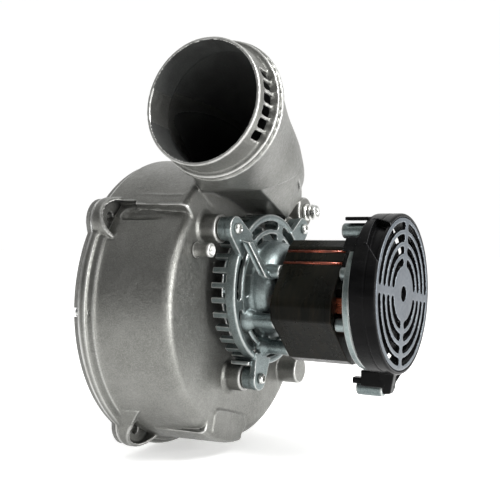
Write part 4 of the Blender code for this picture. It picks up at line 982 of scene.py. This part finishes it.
# ---------------------------------------------------------------- fan cover
def fan_cover(look):
    inner = COVER_R - COVER_T
    profile = [(COVER_BACK, inner), (COVER_BACK, COVER_R - 0.3), (COVER_BACK + 0.3, COVER_R),
               (178.2, COVER_R), (178.4, COVER_R - 0.5), (179.0, COVER_R - 0.5), (179.2, COVER_R),
               (COVER_RIM - 1.2, COVER_R), (COVER_RIM - 0.3, COVER_R - 0.4), (COVER_RIM, COVER_R - 1.2),
               (COVER_RIM, inner), (COVER_FRONT, inner), (COVER_FRONT, inner - 2.0),
               (COVER_FRONT - 2.0, inner - 2.0), (COVER_FRONT - 2.0, inner)]
    body = turned(profile, 200)
    liner = prism(sector(NOTCH_FLOOR_R - 2.6, inner + 0.9, 106.3, 160.3), 171.0, COVER_FRONT - 0.2)
    top_hook = block((153.5, 170.0), (-20.0, -8.0), (46.9, 49.3))
    tab = prism(sector(inner + 0.2, COVER_R - 0.2, 134.0, 146.0), 161.3, COVER_BACK + 2.0)
    prong = block((152.0, 159.5), (-3.4, 3.0), (-59.8, -55.8))
    low_hook = block((158.0, 173.5), (-4.0, 7.4), (-61.1, -50.6))
    wedge = hull(WEDGE)
    for shape in (top_hook, low_hook, wedge):
        cut(shape, rod(inner + 0.9, COVER_BACK + 0.6, COVER_FRONT + 4.0, segments=120))
    reaches = (42.0, 56.0)
    notch = hull([(x, *polar(radius, angle)) for x, angle in NOTCH for radius in reaches])
    cut(notch, rod(NOTCH_FLOOR_R, 160.0, 190.0, segments=120))
    rib = hull([(x + off, *polar(radius, angle)) for x, angle in NOTCH[:2]
                for off in (-2.2, -0.3) for radius in (49.5, COVER_R + 0.5)])
    join(body, liner, top_hook, tab, low_hook, prong, wedge, rib)
    lip = hull([(x, y, z) for x in (178.0, 190.0)
                for y, z in ((0.0, -53.0), (10.0, -53.0), (1.5, -61.5), (7.5, -61.5))])
    return piece(soften(cut(body, notch, lip), 0.45, 3, 0.6), "fan_cover", look)


def fan_grille(look, walls):
    rim = 1.0
    profile = [(GRILLE_BACK, GRILLE_HUB_HOLE), (GRILLE_BACK, GRILLE_R), (GRILLE_FRONT - rim, GRILLE_R),
               (GRILLE_FRONT - 0.3, GRILLE_R - 0.3), (GRILLE_FRONT, GRILLE_R - rim),
               (GRILLE_FRONT, GRILLE_HUB_HOLE)]
    body = turned(profile, 200)
    slots = []
    for inner, outer in GRILLE_SLOTS:
        reach = degrees(GRILLE_SPOKE / 2 / ((inner + outer) / 2)) + degrees((outer - inner) / 2 / inner)
        for k in range(4):
            start = GRILLE_TURN + 90.0 * k
            outline = arc_slot(inner, outer, start + reach, start + 90.0 - reach)
            slots.append(prism(outline, GRILLE_BACK - 2.0, GRILLE_FRONT + 2.0))
    snaps = [rod(1.3, GRILLE_BACK + 0.2, GRILLE_FRONT + 0.2, polar(47.2, angle), 20, 0.5)
             for angle in (20.0, 62.0, 150.0)]
    join(body, *snaps)
    soften(cut(body, *slots), 0.42, 3, 0.6)
    # painted shade: the slot walls take the black moulding finish so that the slots read dark
    two_tone(body, "fan_grille", (look, walls), lambda face: face.normal.x < 0.35)


# ---------------------------------------------------------------- rotating assembly
def rotor(steel, varnish, cast, sheet, black):
    grip = SHAFT_R + GAP

    def spin(made, node, look):
        return piece(made, node, look, "rotor")

    shaft = [(22.0, 0.0), (22.0, 3.4), (22.6, SHAFT_R), (178.4, SHAFT_R), (179.0, 3.4), (179.0, 0.0)]
    spin(turned(shaft, 48), "rotor_shaft", steel)
    spin(crisp(tube(23.8, grip, 111.4, 152.6)), "rotor_core", varnish)
    spin(crisp(tube(22.6, grip + 5.0, 107.6, 111.1)), "rotor_end_ring_front", cast)
    spin(crisp(tube(22.6, grip + 5.0, 152.9, 156.4)), "rotor_end_ring_rear", cast)
    spin(crisp(tube(8.0, grip, 103.6, 105.0, 48), bevel=0.2), "thrust_washer_front", black)
    spin(crisp(tube(8.0, grip, 155.2, 156.6, 48), bevel=0.2), "thrust_washer_rear", black)
    spin(crisp(tube(6.2, grip, 176.4, 177.4, 48), bevel=0.2), "fan_retaining_ring", steel)

    disc = turned([(73.0, grip), (73.0, 9.0), (75.4, 9.0), (75.4, 44.0), (76.8, 44.0), (76.8, 9.0),
                   (85.0, 9.0), (85.0, grip)], 120)
    blades = []
    for k in range(8):
        angle = 45.0 * k
        outline = [polar(16.0, angle), polar(42.0, angle + 1.0),
                   polar(42.0, angle - 1.4), polar(16.0, angle - 5.0)]
        blades.append(prism(outline, 76.2, 83.4))
    spin(soften(join(disc, *blades), 0.55, 4, 0.4), "heat_slinger", cast)

    wheel = turned([(WHEEL_FRONT - 1.2, 6.0), (WHEEL_FRONT - 1.2, WHEEL_R), (WHEEL_FRONT, WHEEL_R),
                    (WHEEL_FRONT, 6.0)], 120)
    rim = tube(WHEEL_R + 0.8, BLADE_IN + 2.0, WHEEL_BACK, WHEEL_BACK + 1.6, 120)
    blades = []
    for k in range(BLADE_COUNT):
        angle = 360.0 * k / BLADE_COUNT
        rows = [(BLADE_IN + (WHEEL_R - 0.4 - BLADE_IN) * t, 9.0 * t ** 1.5)
                for t in (0.0, 0.2, 0.4, 0.6, 0.8, 1.0)]
        front = [polar(r, angle + a) for r, a in rows]
        back = [polar(r, angle + a - degrees(BLADE_T / r)) for r, a in rows]
        blades.append(prism(front + back[::-1], WHEEL_BACK + 0.8, WHEEL_FRONT - 0.6))
    spin(soften(join(wheel, rim, *blades), 0.6, 2, 0.35), "impeller_wheel", sheet)

    end = WHEEL_FRONT - 1.2 - GAP
    hub = turned([(38.0, grip), (38.0, 8.4), (38.6, 9.0), (53.4, 9.0), (54.4, 10.0), (54.4, 17.4),
                  (55.0, 18.0), (end, 18.0), (end, grip)], 64)
    hole = upright_rod(2.2, 3.0, 12.0, 46.0)
    spin(cut(hub, hole), "impeller_hub", cast)
    screw = cut(upright_rod(1.9, grip, 9.6, 46.0), upright_rod(0.9, 7.0, 12.0, 46.0, 6))
    spin(screw, "hub_set_screw", steel)

    hub = turned([(169.0, grip), (169.0, 43.0), (170.4, 43.0), (170.4, 10.0), (175.4, 10.0), (176.0, 9.4),
                  (176.0, grip)], 96)
    blades = []
    for k in range(5):
        angle = 72.0 * k
        root = [polar(8.0, angle - 16.0), polar(8.0, angle + 16.0)]
        tip = [polar(41.0, angle + 24.0), polar(42.5, angle + 4.0), polar(41.0, angle - 18.0)]
        low = [(170.2, *root[0]), (174.2, *root[1]), (176.6, *tip[0]), (173.6, *tip[1]), (169.8, *tip[2])]
        blades.append(hull(low + [(x + 1.4, y, z) for x, y, z in low]))
    spin(soften(join(hub, *blades), 0.5, 6, 0.5), "cooling_fan", black)


def upright_rod(radius, z0, z1, x, segments=24):
    turns = [2 * pi * k / segments for k in range(segments)]
    return loft([[(x + radius * cos(t), radius * sin(t), z) for t in turns] for z in (z0, z1)])


# ---------------------------------------------------------------- studio
def area_light(name, at, towards, size, power):
    data = bpy.data.lights.new(name, "AREA")
    data.shape = "RECTANGLE"
    data.size, data.size_y = size
    data.energy = power
    lamp = bpy.data.objects.new(name, data)
    lamp.location = at
    lamp.rotation_euler = (Vector(towards) - Vector(at)).to_track_quat("-Z", "Y").to_euler()
    bpy.context.scene.collection.objects.link(lamp)


def room_light(tree, strength):
    """Bright walls behind, above and to the right of the object, darker ones behind the camera."""
    place = tree.nodes.new("ShaderNodeTexCoord").outputs["Generated"]
    total = ROOM_BASE
    for side, low, high, gain in ROOM_WALLS:
        towards = tree.nodes.new("ShaderNodeVectorMath")
        towards.operation = "DOT_PRODUCT"
        tree.links.new(place, towards.inputs[0])
        towards.inputs[1].default_value = side
        ramp = tree.nodes.new("ShaderNodeMapRange")
        ramp.interpolation_type = "SMOOTHSTEP"
        tree.links.new(towards.outputs["Value"], ramp.inputs["Value"])
        for name, value in (("From Min", low), ("From Max", high), ("To Min", 0.0), ("To Max", gain)):
            ramp.inputs[name].default_value = value
        add = tree.nodes.new("ShaderNodeMath")
        add.operation = "ADD"
        tree.links.new(ramp.outputs["Result"], add.inputs[0])
        if isinstance(total, float):
            add.inputs[1].default_value = total
        else:
            tree.links.new(total, add.inputs[1])
        total = add.outputs["Value"]
    tree.links.new(total, strength)


def studio():
    scene = bpy.context.scene
    scene.view_settings.view_transform = "Standard"
    world = bpy.data.worlds.new("soft_room")
    world.use_nodes = True
    sky = world.node_tree.nodes["Background"]
    sky.inputs["Color"].default_value = (1.0, 1.0, 0.995, 1.0)
    room_light(world.node_tree, sky.inputs["Strength"])
    scene.world = world
    area_light("key", (0.85, -0.2, 0.8), (0.09, 0.0, 0.03), (0.45, 0.45), 18.0)
    area_light("side", (1.05, -0.05, -0.02), (0.09, 0.0, 0.0), (0.5, 0.5), 13.0)

    floor = prism([(-4000.0, -1.0), (4000.0, -1.0), (4000.0, 0.0), (-4000.0, 0.0)], -4000.0, 4000.0)
    floor.name = "studio_floor"
    floor.data.transform(Matrix.Scale(MM, 4))
    floor.location = (0.0, 0.0, cad_box[0][2] - 0.0005)
    floor.data.materials.append(floor_finish())

    lens = bpy.data.cameras.new("camera")
    lens.sensor_width, lens.lens = 36.0, LENS
    lens.clip_start, lens.clip_end = 0.01, 50.0
    camera = bpy.data.objects.new("camera", lens)
    camera.location = CAMERA_AT
    camera.rotation_euler = Vector(CAMERA_FORWARD).to_track_quat("-Z", "Y").to_euler()
    scene.collection.objects.link(camera)
    scene.camera = camera


def build():
    cast = cast_finish("cast_housing_skin", (0.118, 0.119, 0.109), (0.189, 0.189, 0.178),
                       0.85, (0.34, 0.50), 0.55)
    zinc = cast_finish("zinc_die_casting", (0.055, 0.074, 0.076), (0.215, 0.250, 0.248),
                       0.85, (0.28, 0.46), 0.6)
    small_cast = cast_finish("cast_fittings", (0.15, 0.15, 0.138), (0.24, 0.24, 0.225),
                             0.8, (0.34, 0.5), 0.35)
    steel = turned_steel()
    sheet = aluminised_sheet()
    fibre = gasket_fibre()
    varnish = varnished_laminations()
    copper = enamelled_copper()
    red = enamelled_copper("varnished_red_bars", (0.10, 0.020, 0.010), (0.34, 0.075, 0.040))
    bronze = sintered_bronze()
    black = black_moulding()

    blower_housing(cast, soot_finish())
    inlet_side(sheet, fibre, steel)
    front_fittings(small_cast, steel, fibre)
    motor_bracket(zinc)
    bracket_screws(steel)
    motor(varnish, copper, red, zinc, steel, bronze)
    fan_cover(black)
    fan_grille(grille_paint(), black)
    rotor(steel, varnish, zinc, sheet, black)
    studio()


build()
